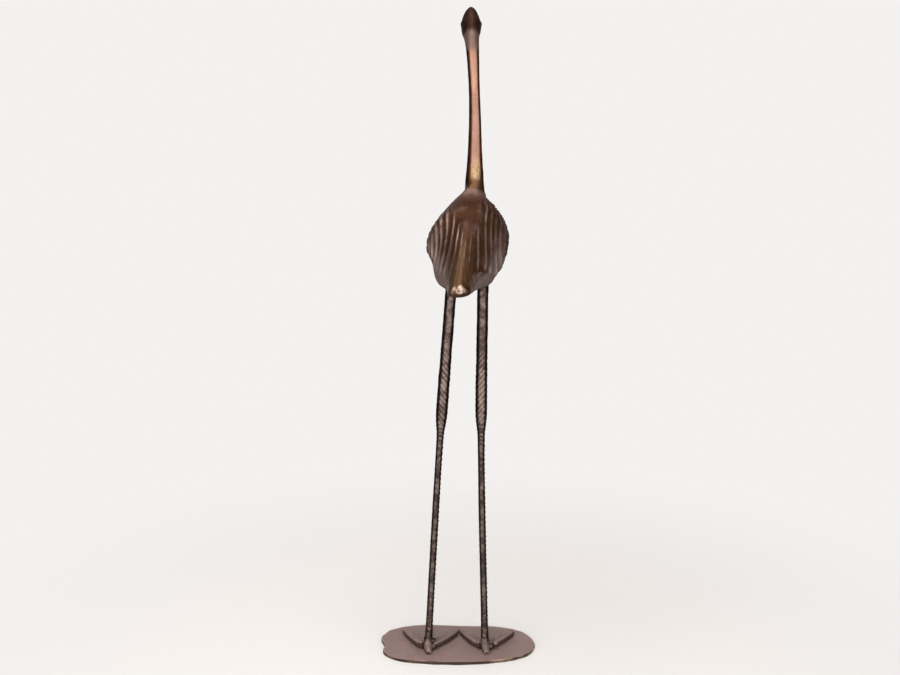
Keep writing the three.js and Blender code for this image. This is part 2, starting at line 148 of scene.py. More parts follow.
# The bird's grid: rings along it, denser on the head, and lines around it, denser on the wings.
BIRD_RINGS, HEAD_FINENESS, HEAD_FROM = 468, 2.3, (13.5, 14.5)
WING_LINES, WING_LINES_TO, BELLY_LINES = 153, 114, 51
SETTLING_RINGS = 12
END_RINGS, TAIL_ROUNDING, BILL_ROUNDING = 6, 2.4, 1.4

# Legs. Each is a rod from the foot by the ankle joint up into the thigh, and thinner below the joint. The
# hand says which way its twist runs.
LEGS = {
    "left_leg": {"hand": 1, "foot": (-46, -20), "ankle": (-26.1, -30), "top": (-9, -12)},
    "right_leg": {"hand": -1, "foot": (41.5, -20), "ankle": (33.9, -30), "top": (36, -12)},
}
SOLE_Z, ANKLE_Z, LEG_TOP_Z = 5.3, 350, 580
LEG_RADII = {
    SOLE_Z: 6, 22: 5.9, 44: 5.4, 100: 5.2, 220: 5.2, 330: 5.2, ANKLE_Z: 5.7,
    362: 7.2, 376: 8.4, 400: 8.6, 460: 8.3, 530: 8.2, LEG_TOP_Z: 8.2,
}
LEG_RINGS, LEG_LINES = 600, 84
TWIST_STARTS, TWIST_PITCH, TWIST_DEPTH, TWIST_FROM, TWIST_TO = 7, 8.2, 0.19, (352, 372), (500, 440)
TWIST_STRAY_SIZE = 60
HAMMER_DEPTH, HAMMER_SIZE, HAMMER_FROM = 0.22, 13, (360, 440)
SCUTE_PITCH, SCUTE_RING, SCUTE_SPUR, SCUTE_SPREAD = 7.6, 0.06, 0.8, 32
SCUTE_FADE, SCUTE_STRAY, SCUTE_STRAY_SIZE = ((30, 60), (352, 330)), 0.3, 50
PIT_DEPTH, PIT_SIZE = 0.09, 6
ANKLE_FOLDS, ANKLE_FOLD_PITCH, ANKLE_FOLD_REACH = 0.18, 6, 16
# Beads of weld under the thigh: angle around the leg, height, rise and reach.
WELD_BEADS = (
    (-80, 549, 1.6, 5.5), (-130, 556, 1.1, 5), (-30, 558, 1.2, 5), (40, 554, 1.1, 5), (110, 556, 1.3, 5.4),
)

# Heights of the thick upper leg, of the brassy specks, of the foot's metal and of the sole, which is painted
# near black as a painted shadow.
UPPER_LEG, LOW_LEG, FOOT_METAL, SOLE_SHADOW_LINE = (345, 362), (150, 20), (24, 15), (9.5, 7)
# How squarely a point faces back or ahead to be painted lighter, as painted light with painted shade on the
# leg's sides, and how little it faces up for the foot's sides to be darker.
PAINTED_LIGHT_FACING, STEEP = (0.76, 0.97), (0.5, 0.1)
# Behind these distances the claw has only this share of the foot's metal.
CLAW_BEHIND, CLAW_METAL = (-9, -4), 0.55
# The swelling above the ankle gets this much more of that painted light, around this height.
PAINTED_LIGHT_MORE, PAINTED_LIGHT_AT = 0.4, (405, 45)

# Feet. A toe's path starts beside the heel and bends towards its tip. Its half widths and heights are read at
# even steps, and its knuckles are swellings: place, reach, growth.
FOOT_TURN = -4
TOES = {
    "outer": {
        "start": (5, -2), "bend": (22, 17), "tip": (40.8, 54),
        "halves": (6, 7, 6.2, 4.7), "heights": (11, 12, 11, 10),
        "knuckles": ((0.3, 0.06, 0.05), (0.55, 0.05, 0.04)), "end": 0.05,
    },
    "middle": {
        "start": (0, 0), "bend": (0, 30), "tip": (0, 70),
        "halves": (5.2, 5.4, 4.4, 3.8), "heights": (9, 8.8, 8, 7.5),
        "knuckles": ((0.35, 0.07, 0.08), (0.68, 0.06, 0.06)), "end": 0.1,
    },
}
CLAW = {
    "start": (0, 0), "bend": (0.5, -10), "tip": (4, -24),
    "halves": (6, 6.4, 6, 3.6), "heights": (26, 19, 12, 6.5),
}
TOE_SQUARENESS, TOE_UNDERCUT = 0.75, 1
TOE_RINGS, TOE_LINES = 90, 40
WEB_THICKNESS, WEB_SAG, WEB_SCALLOP, WEB_RIBS, WEB_RIB_RISE = 6, 0.6, 9, 5, 0.12
FOOT_VOXEL, FOOT_SMOOTHING = 0.55, 4
# Lumps of metal on the toes, most of them to the right of the leg: x, y, z and radius.
HEEL_LUMPS = {
    "left_leg": ((9, -2, 14, 4.2), (12.5, -3, 9, 4.2), (8, -6, 5, 3.8), (-10.5, -2, 10, 3.8)),
    "right_leg": (
        (10, -2.5, 11.5, 4.2), (15.5, -1, 8.5, 4), (8.5, -6, 5, 3.6), (-4, -6, 16, 3), (-10.5, -2, 10, 3.6),
    ),
}

# The plate: a rough oval, flat along its far side, with a notch where the left lobe ends.
PLATE_OUTLINE = (
    (118, -8), (107, -36), (76, -56), (14, -68), (-57, -64), (-96, -52), (-114, -29), (-112.5, -8),
    (-119, 18), (-106, 49), (-66, 68), (3, 66), (64, 62), (100, 44), (116, 14),
)
PLATE_THICKNESS, PLATE_EDGE_ROUND = 5, 1.4
PLATE_CORNER_STEPS, PLATE_RINGS, PLATE_EDGE_STEPS = 26, 60, 6
PLATE_WAVE, PLATE_WAVE_SIZE, PLATE_DENT, PLATE_DENT_SIZE = 0.25, 60, 0.1, 12
RIM_STRAY, RIM_STRAY_SIZE = 0.5, 22

# How far inside the rim the dark metal of the side ends, and where the worn line runs.
SIDE_METAL, EDGE_LINE = (1.3, 0.7), (1.5, 0.9)

# Relief is how far the metal stands above itself once smoothed, and this much of it counts as full wear.
RELIEF_PASSES, RELIEF_SCALE = {"bird": 26, "leg": 14, "plate": 10}, {"bird": 0.55, "leg": 0.3, "plate": 0.35}


def smooth_step(value):
    """Three value squared less two value cubed, with the value held between 0 and 1."""
    held = np.clip(value, 0, 1)
    return held * held * (3 - 2 * held)


def fade(value, pair):
    """Goes smoothly from 0 where a form starts to 1 where it is full."""
    start, full = pair
    return smooth_step((value - start) / (full - start))


def lobe(value, middle, reach):
    """1 at the middle of a soft lobe, and e to the minus squared distance in reaches away from it."""
    return np.exp(-(((value - middle) / reach) ** 2))


def lerp(start, end, share):
    """The value a share of the way from start to end."""
    return start + (end - start) * share


def through(places, rows, at):
    """A smooth curve through rows at their places, read at any place.

    Between two rows it is the cubic whose slope at each row is the mean of the straight slopes on both sides.
    """
    places, rows, at = (np.asarray(values, float) for values in (places, rows, at))
    steps = np.diff(places)[:, None]
    straight = np.diff(rows, axis=0) / steps
    slopes = np.concatenate([straight[:1], (straight[:-1] + straight[1:]) / 2, straight[-1:]])
    i = np.clip(np.searchsorted(places, at, side="right") - 1, 0, len(places) - 2)
    step = steps[i]
    t = (at - places[i])[..., None] / step
    return (
        (1 + 2 * t) * (1 - t) ** 2 * rows[i]
        + t * (1 - t) ** 2 * step * slopes[i]
        + t * t * (3 - 2 * t) * rows[i + 1]
        + t * t * (t - 1) * step * slopes[i + 1]
    )


def curve_of(values, at):
    """One value after another at even steps from 0 to 1, joined by a smooth curve and read at a place."""
    return through(np.linspace(0, 1, len(values)), [[value] for value in values], at)[..., 0]


def unevenness(points, size, seed):
    """A soft random field from about -1 to 1: the sum of sine waves of about this length, in random ways."""
    draw = np.random.default_rng(seed)
    waves = 12
    ways = draw.normal(size=(waves, points.shape[-1]))
    ways /= np.linalg.norm(ways, axis=1, keepdims=True)
    lengths = size * draw.uniform(0.7, 1.5, waves)
    shifts = draw.uniform(0, 2 * math.pi, waves)
    turns = points @ (ways / lengths[:, None]).T * 2 * math.pi + shifts
    return np.sin(turns).sum(-1) / math.sqrt(waves * 2)


def swept(grid):
    """The faces of a closed tube: a grid of rings by lines whose ends run in to a point each.

    Each quad joins two neighbouring rings and lines, and a fan of triangles closes each end. The vertices are
    the grid's, then the middle of the first ring and of the last. The whole is turned so that the volume
    under its faces is positive.
    """
    rings, lines = grid.shape[:2]
    index = np.arange(rings * lines).reshape(rings, lines)
    beside = np.roll(index, -1, axis=1)
    quads = np.stack([index[:-1], beside[:-1], beside[1:], index[1:]], -1).reshape(-1, 4)
    first = np.full(lines, rings * lines)
    start = np.stack([first, beside[0], index[0]], -1)
    end = np.stack([first + 1, index[-1], beside[-1]], -1)
    points = np.concatenate([grid.reshape(-1, 3), grid[0].mean(0)[None], grid[-1].mean(0)[None]])
    triangles = np.concatenate([quads[:, :3], quads[:, [0, 2, 3]], start, end])
    a, b, c = (points[triangles[:, corner]] for corner in range(3))
    if (a * np.cross(b, c)).sum() < 0:
        quads, start, end = quads[:, ::-1], start[:, ::-1], end[:, ::-1]
    return points, quads.tolist() + start.tolist() + end.tolist()


def mesh_of(name, parts):
    """A mesh in metres from closed parts in millimetres, each a list of points and the faces on them."""
    points = np.concatenate([part[0] for part in parts])
    starts = np.cumsum([0] + [len(part[0]) for part in parts[:-1]])
    faces = [
        [corner + start for corner in face] for start, part in zip(starts.tolist(), parts) for face in part[1]
    ]
    mesh = bpy.data.meshes.new(name)
    mesh.from_pydata((points * MM).tolist(), [], faces)
    mesh.update()
    return mesh


def object_of(name, mesh):
    """An object at the origin that shows a mesh."""
    piece = bpy.data.objects.new(name, mesh)
    bpy.context.scene.collection.objects.link(piece)
    return piece


def finished(piece):
    """The object's modifiers worked into its mesh."""
    shaped = piece.evaluated_get(bpy.context.evaluated_depsgraph_get())
    mesh = bpy.data.meshes.new_from_object(shaped)
    piece.modifiers.clear()
    piece.data = mesh
    return piece


def points_of(mesh):
    """The places of a mesh's vertices in millimetres."""
    points = np.empty(len(mesh.vertices) * 3)
    mesh.vertices.foreach_get("co", points)
    return points.reshape(-1, 3) / MM


def set_attribute(mesh, name, values):
    """Stores one number or one vector for each vertex, for the metal to read."""
    vector = values.ndim > 1
    layer = mesh.attributes.new(name, "FLOAT_VECTOR" if vector else "FLOAT", "POINT")
    layer.data.foreach_set("vector" if vector else "value", values.astype(np.float32).ravel())


def set_relief(mesh, kind):
    """Stores how far each vertex stands above the smoothed metal, from -1 in a hollow to 1 on a crest.

    Each pass moves every vertex to the mean of its neighbours. The relief is the way back from there to the
    vertex itself, measured along its normal and shared by the scale for this kind of piece.
    """
    count = len(mesh.vertices)
    edges = np.empty(len(mesh.edges) * 2, int)
    mesh.edges.foreach_get("vertices", edges)
    ends = edges.reshape(-1, 2)
    from_here, to_there = np.concatenate([ends, ends[:, ::-1]]).T
    neighbours = np.maximum(np.bincount(from_here, minlength=count), 1)
    normals = np.empty(count * 3, np.float32)
    mesh.vertex_normals.foreach_get("vector", normals)
    points = points_of(mesh)
    smoothed = points.copy()
    for _ in range(RELIEF_PASSES[kind]):
        sums = [np.bincount(from_here, smoothed[to_there, axis], count) for axis in range(3)]
        smoothed = np.stack(sums, -1) / neighbours[:, None]
    height = ((points - smoothed) * normals.reshape(-1, 3)).sum(-1)
    set_attribute(mesh, "relief", np.clip(height / RELIEF_SCALE[kind], -1, 1))


def dress(piece, node, material, kind):
    """Finishes a piece that stands for one node: smooth faces, relief for the wear, metal and body, its part
    hidden.
    """
    piece.data.shade_smooth()
    set_relief(piece.data, kind)
    piece.data.materials.clear()
    piece.data.materials.append(material)
    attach(piece, "root")
    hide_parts(node)
    return piece


# The bird

NECK_BASE = ROW["neck_base"]
LAST_ROW = ROW["bill_tip"]
WIDEST = ROW["back"] / NECK_BASE
WIDEST_HALF = SECTIONS["back"][HALF_WIDTH]


def section_at(row):
    """The eight values of the oval section at a row, each as an array of the rows' shape."""
    return np.moveaxis(through(range(LAST_ROW + 1), list(SECTIONS.values()), row), -1, 0)


def oval(row, angle, hand):
    """The middle of a section, and the way from there to its edge at an angle on one hand.

    The edge goes sideways by the half width times the sine, pinched towards the top, and towards the top
    point or the bottom one by the cosine. The middle lies on the widest level and leans with the cosine.
    """
    top_y, top_z, bottom_y, bottom_z, half, middle, ridge, level = section_at(row)
    up, across = np.cos(np.radians(angle)), np.sin(np.radians(angle)) * hand
    pinch = 1 - ridge * np.maximum(up, 0) ** 2
    lean = BODY_LEAN * up * half / WIDEST_HALF
    rise = up * np.where(up > 0, 1 - level, level)
    offset = half * across * pinch, (top_y - bottom_y) * rise, (top_z - bottom_z) * rise
    centre = middle + lean, lerp(bottom_y, top_y, level), lerp(bottom_z, top_z, level)
    return (np.stack(np.broadcast_arrays(*parts), -1) for parts in (centre, offset))


def ring_rows():
    """The rows of the bird's rings, spaced evenly by the length of its middle, and closer on the head."""
    rows = np.linspace(0, LAST_ROW, 4000)
    top_y, top_z, bottom_y, bottom_z = section_at(rows)[:4]
    lengths = [np.hypot(np.diff(y), np.diff(z)) for y, z in ((top_y, top_z), (bottom_y, bottom_z))]
    density = lerp(1, HEAD_FINENESS, fade(rows[:-1], HEAD_FROM))
    travelled = np.concatenate([[0], np.cumsum(sum(lengths) / 2 * density)])
    return np.interp(np.linspace(0, travelled[-1], BIRD_RINGS), travelled, rows)


def feather_lines():
    """The lines along the bird, as angles from -180 to 180: close on the wings and wider on the belly."""
    wings = np.linspace(-WING_LINES_TO, WING_LINES_TO, WING_LINES)
    belly = np.linspace(WING_LINES_TO, 360 - WING_LINES_TO, BELLY_LINES + 2)[1:-1]
    return np.concatenate([wings, np.where(belly > 180, belly - 360, belly)])


def wing_edge(place, hand):
    """The angle of the wing's lower edge, which drops down the side as it comes forward from the tail."""
    left, right = (lerp(*edge, fade(place, EDGE_DROPS)) for edge in (EDGE_ON_LEFT, EDGE_ON_RIGHT))
    return np.where(hand < 0, left, right)


def angle_at(place, line, edge):
    """The angle at which a feather line lies at a place.

    Ahead of the widest section a line keeps its own angle. Behind it, it keeps its distance from the middle:
    the sine of its angle is its first sine over the width. Past the outermost point it goes on down the side,
    and the lines that have run off the wing share out the flank and the belly.
    """
    width = np.minimum(section_at(place * NECK_BASE)[HALF_WIDTH] / WIDEST_HALF, 1)
    outermost = np.degrees(np.arcsin(width * np.sin(np.radians(np.minimum(edge, 90)))))
    last = outermost + np.maximum(edge - 90, 0)
    on_back = np.degrees(np.arcsin(np.clip(np.sin(np.radians(line)) / width, -1, 1)))
    below = lerp(edge, 180, (line - last) / (180 - last))
    behind = np.where(line > last, below, np.where(line > outermost, 90 + line - outermost, on_back))
    return settled(np.where(place >= WIDEST, line, behind))


def line_at(place, angle):
    """The feather line at an angle: its sine is the body's width times the angle's sine, as far as the side.

    Past the side it grows with the angle. Ahead of the widest section it is the angle itself.
    """
    width = np.minimum(section_at(place * NECK_BASE)[HALF_WIDTH] / WIDEST_HALF, 1)
    on_back = np.degrees(np.arcsin(width * np.sin(np.radians(np.minimum(angle, 90)))))
    return np.where(place >= WIDEST, angle, on_back + np.maximum(angle - 90, 0))


def settled(angles):
    """Angles softened along the bird: each ring becomes the bell-weighted mean of the rings around it."""
    reach = SETTLING_RINGS
    weights = np.hanning(2 * reach + 3)[1:-1]
    padded = np.concatenate([angles[:1]] * reach + [angles] + [angles[-1:]] * reach)
    return sum(w * padded[k:k + len(angles)] for k, w in enumerate(weights)) / weights.sum()


def crest_wave(side, place):
    """From 0 in the valleys to 1 on the crests, which are narrower than the valleys.

    A crest lies on its line at the tail and moves evenly over to its line at the shoulders. The turns count
    the crests passed from the left. The wave is half of one plus their cosine, to a power. A crest leans
    outwards.
    """
    share = np.clip((place - CREST_PLACES[0]) / (CREST_PLACES[1] - CREST_PLACES[0]), 0, 1)
    crests = [lerp(start, end, share) for start, end in CRESTS]
    turns = sum(np.clip((side - low) / (high - low), 0, 1) for low, high in zip(crests, crests[1:]))
    turns = turns + CREST_LEAN * np.sin(2 * math.pi * turns) * np.sign(side)
    return ((1 + np.cos(2 * math.pi * turns)) / 2) ** CREST_SHARPNESS


def body_relief(points, place, angle, edge, hand):
    """How far the body's forms stand out from its smooth surface, and how much of a crest each point is.

    The forms are the wings, feathers, strands, thighs, the lips of both flanks, the mantle and the soft
    lumps of the gilt tail.
    """
    side = line_at(place, angle) * hand + FEATHER_WANDER * unevenness(points, WANDER_SIZE, 3)
    gathered = np.where(side > 0, GATHERED, GATHERED_ON_LEFT) * fade(place, GATHERS)
    wave = crest_wave(side * (1 + gathered), place)
    tip = edge + TIP_SCALLOP * (wave - 0.5)
    soft = np.where(hand < 0, lerp(*TIP_SOFTNESS, fade(place, TIP_HARDENS)), TIP_SOFTNESS[1])
    ahead = fade(place, WING_TO_NECK)
    on_wing = fade(angle, (tip + soft, tip - soft)) * ahead
    flutes_end = np.where(hand < 0, lerp(FLUTES_DOWN_LEFT, edge, fade(place, TIP_HARDENS)), edge)
    fluted = fade(angle, (flutes_end + TIP_SOFTNESS[1], flutes_end - TIP_SOFTNESS[1])) * ahead
    from_tail = np.where(hand < 0, *(fade(place, pair) for pair in WING_FROM_TAIL))
    wing = WING_RISE * on_wing * from_tail * fade(angle, WING_FROM_BACK)
    bounds = (np.interp(place, *np.transpose(pairs)) for pairs in (SMOOTH_LEFT, SMOOTH_RIGHT))
    smooth = np.where(side < 0, *bounds)
    carved = fluted * fade(place, FEATHER_FROM_TAIL) * fade(np.abs(side) - smooth, (-SMOOTH_SOFTNESS, 0))
    depth = FEATHER_DEPTH * (1 + FEATHER_STRAY * unevenness(points, STRAY_SIZE, 4))
    strand = np.cos(2 * math.pi * side / STRAND_ANGLE) * fade(place, STRANDS_FADE)
    thigh = THIGH_RISE * lobe(place, THIGH_PLACE, THIGH_LENGTH) * lobe(angle, THIGH_ANGLE, THIGH_SPREAD)
    lip = np.where(hand < 0, *LIP_RISE) * lip_at(place, angle)
    bound = mantle_bound(angle)
    on_mantle = fade(place, (bound + MANTLE_CRISPNESS, bound - MANTLE_CRISPNESS))
    mantle = MANTLE_STEP * on_mantle * fade(place, (bound - MANTLE_LENGTH, bound))
    calm = 1 - GILT_CALM * gilt_at(place, angle)
    feathers = depth * (wave - 0.4) * carved * calm + STRAND_DEPTH * strand * on_wing
    worn = wave * carved * lerp(1, SIDE_CREST_WEAR, fade(angle, SIDE_CREST_ANGLES))
    gilt_lumps = GILT_LUMPS * gilt_at(place, angle) * unevenness(points, GILT_LUMP_SIZE, 8)
    return wing + feathers + gilt_lumps + thigh + lip + mantle, worn


def lip_at(place, angle):
    """1 along the lip at the bottom of a flank, and 0 away from it."""
    return lobe(angle, LIP_ANGLE, LIP_WIDTH) * fade(place, LIP_FROM) * fade(place, LIP_TO)


def gilt_at(place, angle):
    """1 on the gilt tail, between its lines and behind its place, and 0 away from it."""
    lines = lerp(*GILT_LINES, fade(place, GILT_NARROWS))
    return fade(place, GILT_PLACE) * fade(line_at(place, angle), (lines + GILT_SOFTNESS, lines))


def mantle_bound(angle):
    """The place where the mantle ends on the neck, further forward by the square of the angle."""
    return MANTLE_PLACE + MANTLE_SWEEP * (np.minimum(angle, 100) / 70) ** 2


def head_relief(row, angle):
    """The bill's step below the face, the line of the mouth and the nostrils."""
    face = FACE_ROW + FACE_CURVE * np.cos(np.radians(angle))
    bill = -FACE_STEP * fade(row, (face - FACE_CRISPNESS, face + FACE_CRISPNESS))
    mouth_angle = MOUTH_ANGLE - MOUTH_DROOP * fade(row, (ROW["bill_root"], ROW["hook"]))
    mouth = -MOUTH_DEPTH * lobe(angle, mouth_angle, MOUTH_WIDTH) * fade(row, MOUTH_ROWS)
    along_nostril = lobe(row, NOSTRIL_ROW, NOSTRIL_LENGTH)
    nostril = -NOSTRIL_DEPTH * along_nostril * lobe(angle, NOSTRIL_ANGLE, NOSTRIL_WIDTH)
    return bill + mouth + nostril


def eyes(points, hand):
    """A dome with a groove around it and a low ring outside, by the distance from the eye's middle."""
    centre, offset = oval(np.full(1, EYE_ROW), np.full(1, EYE_ANGLE), np.array([-1.0, 1.0])[:, None])
    places = (centre + offset)[:, 0]
    away = np.where(hand < 0, *(np.linalg.norm(points - place, axis=-1) for place in places))
    dome = EYE_RISE * np.sqrt(np.maximum(1 - (away / EYE_RADIUS) ** 2, 0))
    groove = -EYE_GROOVE * lobe(away, EYE_RADIUS, EYE_RING * 0.4)
    ring = EYE_GROOVE * lobe(away, EYE_RADIUS + EYE_RING, EYE_RING * 0.7)
    return dome + groove + ring


def lumps(points):
    """Domes of metal on the tail's end, and how far each point of them is worn.

    A dome is the rise times the square of one less the squared distance over the squared reach.
    """
    raised = worn = 0
    for row, side, rise, reach, wear in TAIL_LUMPS:
        centre, offset = oval(np.full(1, row), np.full(1, abs(side)), np.sign(side))
        away = np.linalg.norm(points - centre - offset, axis=-1)
        dome = np.maximum(1 - (away / reach) ** 2, 0) ** 2
        raised, worn = raised + rise * dome, worn + wear * dome
    return raised, worn


def rounded_end(ring, inner, rounding):
    """Rings that close an end as a low dome: they shrink with the cosine and go outwards with the sine."""
    middle = ring.mean(0)
    out = middle - inner.mean(0)
    out /= np.linalg.norm(out)
    turns = np.radians(np.linspace(0, 90, END_RINGS + 2)[1:-1])[:, None, None]
    return middle + (ring - middle) * np.cos(turns) + out * rounding * np.sin(turns)


def bird_surface():
    """The bird's rings of points, with the row, line, hand, angle, crest and worn domes of each.

    A point is the middle of its section plus the way to the oval's edge, which is made longer by the relief.
    """
    row, side = np.meshgrid(ring_rows(), feather_lines(), indexing="ij")
    place, line, hand = row / NECK_BASE, np.abs(side), np.sign(side)
    edge = wing_edge(place, hand)
    angle = angle_at(place, line, edge)
    centre, offset = oval(row, angle, hand)
    smooth = centre + offset
    on_body, crest = body_relief(smooth, place, angle, edge, hand)
    raised = np.where(row < NECK_BASE, on_body, head_relief(row, angle))
    domes, worn = lumps(smooth)
    raised += eyes(smooth, hand) * fade(row, HEAD_FROM) + domes
    raised += CAST_WAVE * unevenness(smooth, CAST_WAVE_SIZE, 5) * fade(row, (ROW["neck_low"], ROW["collar"]))
    raised += CAST_DENT * unevenness(smooth, CAST_DENT_SIZE, 7)
    length = np.linalg.norm(offset, axis=-1)
    grid = centre + offset * ((length + raised) / length)[..., None]
    return grid, row, line, hand, angle, crest * (row < NECK_BASE), worn


def build_bird(material):
    grid, row, line, hand, angle, crest, worn = bird_surface()
    tail = rounded_end(grid[0], grid[1], TAIL_ROUNDING)[::-1]
    bill = rounded_end(grid[-1], grid[-2], BILL_ROUNDING)
    mesh = mesh_of("bird", [swept(np.concatenate([tail, grid, bill]))])

    def whole(values):
        """Values on the grid, carried on over the rounded ends and their two middles."""
        ends = np.concatenate([values[:1]] * END_RINGS + [values] + [values[-1:]] * END_RINGS)
        middles = np.stack([values[0].mean(0), values[-1].mean(0)])
        return np.concatenate([ends.reshape(-1, *values.shape[2:]), middles])

    place = row / NECK_BASE
    around = np.radians(line * hand)
    streaks = np.stack([np.cos(around), np.sin(around), row / LAST_ROW], -1)
    set_attribute(mesh, "streaks", whole(streaks))
    bound = mantle_bound(angle)
    past_mantle = fade(place, (bound - POLISH_BLEND[0], bound + POLISH_BLEND[1]))
    along_flank = fade(place, LIP_FROM) * fade(place, LIP_TO)
    # Painted light on the facet under the right wing's edge, where the edge shades it.
    painted_light_facet = fade(angle - wing_edge(place, hand), UNDER_EDGE) * (hand > 0) * along_flank
    patches = {
        "neck": past_mantle * fade(row, NECK_ENDS),
        # Painted dark reflection on the sides of the neck, by the angle around it.
        "painted_dark_sides": fade(angle, NECK_PAINTED_DARK[0]) * fade(angle, NECK_PAINTED_DARK[1]),
        "nape": fade(row, NECK_ENDS[::-1]),
        "head": fade(row, HEAD_DARKENS),
        # Brass low on the neck, painted bright as a painted highlight.
        "base": fade(row, BRASS_HIGHLIGHT_ROWS[1]),
        "foot": fade(row, BRASS_HIGHLIGHT_ROWS[0][::-1]),
        "tail": gilt_at(place, angle),
        "shoulders": fade(place, SHOULDERS),
        # A painted highlight across the neck around this row.
        "held": lobe(row, HIGHLIGHT_ROW, HIGHLIGHT_REACH),
        "tip": np.minimum(worn, 1),
        "crest": crest,
        "lip": np.maximum(lip_at(place, angle), FACET_PAINTED_LIGHT * painted_light_facet),
    }
    for name, values in patches.items():
        set_attribute(mesh, name, whole(values))
    return dress(object_of("bird", mesh), "bird_body", material, "bird")


# The legs and feet


def leg_axis(stance, height):
    """The middle of a leg at a height: a smooth curve through the foot, the ankle and the top."""
    places = [stance["foot"], stance["ankle"], stance["top"]]
    return np.moveaxis(through([0, ANKLE_Z, LEG_TOP_Z], places, height), -1, 0)


def leg_relief(around, height, hand, points):
    """How far the twist, the hammering, the scutes, the ankle's folds and the beads stand out from the rod.

    The twist is the sine of several turns around the leg and one for each pitch up it. A scute rises slowly
    over its pitch and drops at its end.
    """
    turn = TWIST_STARTS * around * hand + 2 * math.pi * height / TWIST_PITCH
    twist = TWIST_DEPTH * np.sin(turn + unevenness(points, TWIST_STRAY_SIZE, 11))
    twist = twist * fade(height, TWIST_FROM) * fade(height, TWIST_TO)
    hammering = HAMMER_DEPTH * unevenness(points, HAMMER_SIZE, 12) * fade(height, HAMMER_FROM)
    climb = height / SCUTE_PITCH + SCUTE_STRAY * unevenness(points, SCUTE_STRAY_SIZE, 13)
    scute = (climb % 1) ** 1.5 - 0.4
    on_spur = lobe(np.degrees(around), 0, SCUTE_SPREAD)
    rise, drop = SCUTE_FADE
    scutes = scute * (SCUTE_RING + SCUTE_SPUR * on_spur) * fade(height, rise) * fade(height, drop)
    at_ankle = lobe(height, ANKLE_Z, ANKLE_FOLD_REACH)
    folds = ANKLE_FOLDS * np.cos(2 * math.pi * height / ANKLE_FOLD_PITCH) * at_ankle
    pits = PIT_DEPTH * unevenness(points, PIT_SIZE, 14)
    beads = 0
    for angle, bead_height, bead_rise, reach in WELD_BEADS:
        across = (np.degrees(around) - angle * hand + 180) % 360 - 180
        away = np.hypot(np.radians(across) * LEG_RADII[LEG_TOP_Z], height - bead_height)
        beads = beads + bead_rise * np.maximum(1 - (away / reach) ** 2, 0) ** 2
    return twist + hammering + scutes + folds + pits + beads


def rod(stance):
    """Rings around the leg's middle, whose radius is read from the heights and has the relief added."""
    height, around = np.meshgrid(
        np.linspace(SOLE_Z, LEG_TOP_Z, LEG_RINGS),
        np.linspace(-math.pi, math.pi, LEG_LINES, endpoint=False),
        indexing="ij",
    )
    radius = through(list(LEG_RADII), [[value] for value in LEG_RADII.values()], height)[..., 0]
    x, y = leg_axis(stance, height)
    smooth = np.stack([x + radius * np.cos(around), y + radius * np.sin(around), height], -1)
    radius = radius + leg_relief(around, height, stance["hand"], smooth)
    return swept(np.stack([x + radius * np.cos(around), y + radius * np.sin(around), height], -1))


def bent_path(shape, side, along):
    """Points and unit ways of the curve from a toe's start, drawn to its bend, to its tip, on one side."""
    start, bend, tip = (np.array(shape[name], float) * (side, 1) for name in ("start", "bend", "tip"))
    t = along[..., None]
    points = (1 - t) ** 2 * start + 2 * t * (1 - t) * bend + t * t * tip
    ways = (1 - t) * (bend - start) + t * (tip - bend)
    return points, ways / np.linalg.norm(ways, axis=-1, keepdims=True)


def superellipse(around, squareness):
    """Across and up on a rounded square: the cosine and the sine, each to a power with its sign kept."""
    return (np.sign(wave) * np.abs(wave) ** squareness for wave in (np.cos(around), np.sin(around)))


def toe(shape, side):
    """A bar along a bent path, with a rounded back, an undercut sole, knuckles and a blunt end.

    The section is a rounded square that stands on the sole. Its width and height are read along the toe, grow
    at each knuckle, and close over the last part of the toe with the root of one less the place squared.
    """
    along, around = np.meshgrid(
        np.linspace(0, 1, TOE_RINGS), np.linspace(0, 2 * math.pi, TOE_LINES, endpoint=False), indexing="ij"
    )
    points, ways = bent_path(shape, side, along)
    growth = 1 + sum(rise * lobe(along, place, reach) for place, reach, rise in shape["knuckles"])
    end = shape["end"]
    closing = np.sqrt(np.clip(1 - np.clip((along - (1 - end)) / end, 0, 1) ** 4, 0.02, 1))
    half = curve_of(shape["halves"], along) * growth * closing
    height = curve_of(shape["heights"], along) * growth * closing
    across, up = superellipse(around, TOE_SQUARENESS)
    undercut = 1 - TOE_UNDERCUT / height * np.maximum(-up, 0) ** 4
    x = points[..., 0] - ways[..., 1] * across * half * undercut
    y = points[..., 1] + ways[..., 0] * across * half * undercut
    return swept(np.stack([x, y, height / 2 * (1 + up)], -1))


def claw():
    """The short round toe behind, whose width and height are read along its path from the leg to its tip."""
    along, around = np.meshgrid(
        np.linspace(0, 1, TOE_RINGS), np.linspace(0, 2 * math.pi, TOE_LINES, endpoint=False), indexing="ij"
    )
    points, ways = bent_path(CLAW, 1, along)
    half, height = curve_of(CLAW["halves"], along), curve_of(CLAW["heights"], along)
    across, up = np.cos(around), np.sin(around)
    x = points[..., 0] - ways[..., 1] * across * half
    y = points[..., 1] + ways[..., 0] * across * half
    return swept(np.stack([x, y, height / 2 * (1 + up)], -1))


def web_front(share):
    """The front edge of the web from the left toe's tip to the right one's, scalloped between the toes.

    On each side it is the curve that starts at the middle toe's tip, is drawn in by the scallop and ends at
    the outer toe's tip. A share runs from -1 to 1.
    """
    side_x, side_y = TOES["outer"]["tip"]
    front_y = TOES["middle"]["tip"][1]
    t = np.abs(share)
    drawn_x, drawn_y = side_x / 2, (side_y + front_y) / 2 - WEB_SCALLOP
    x = 2 * t * (1 - t) * drawn_x + t * t * side_x
    y = (1 - t) ** 2 * front_y + 2 * t * (1 - t) * drawn_y + t * t * side_y
    return np.sign(share) * x, y


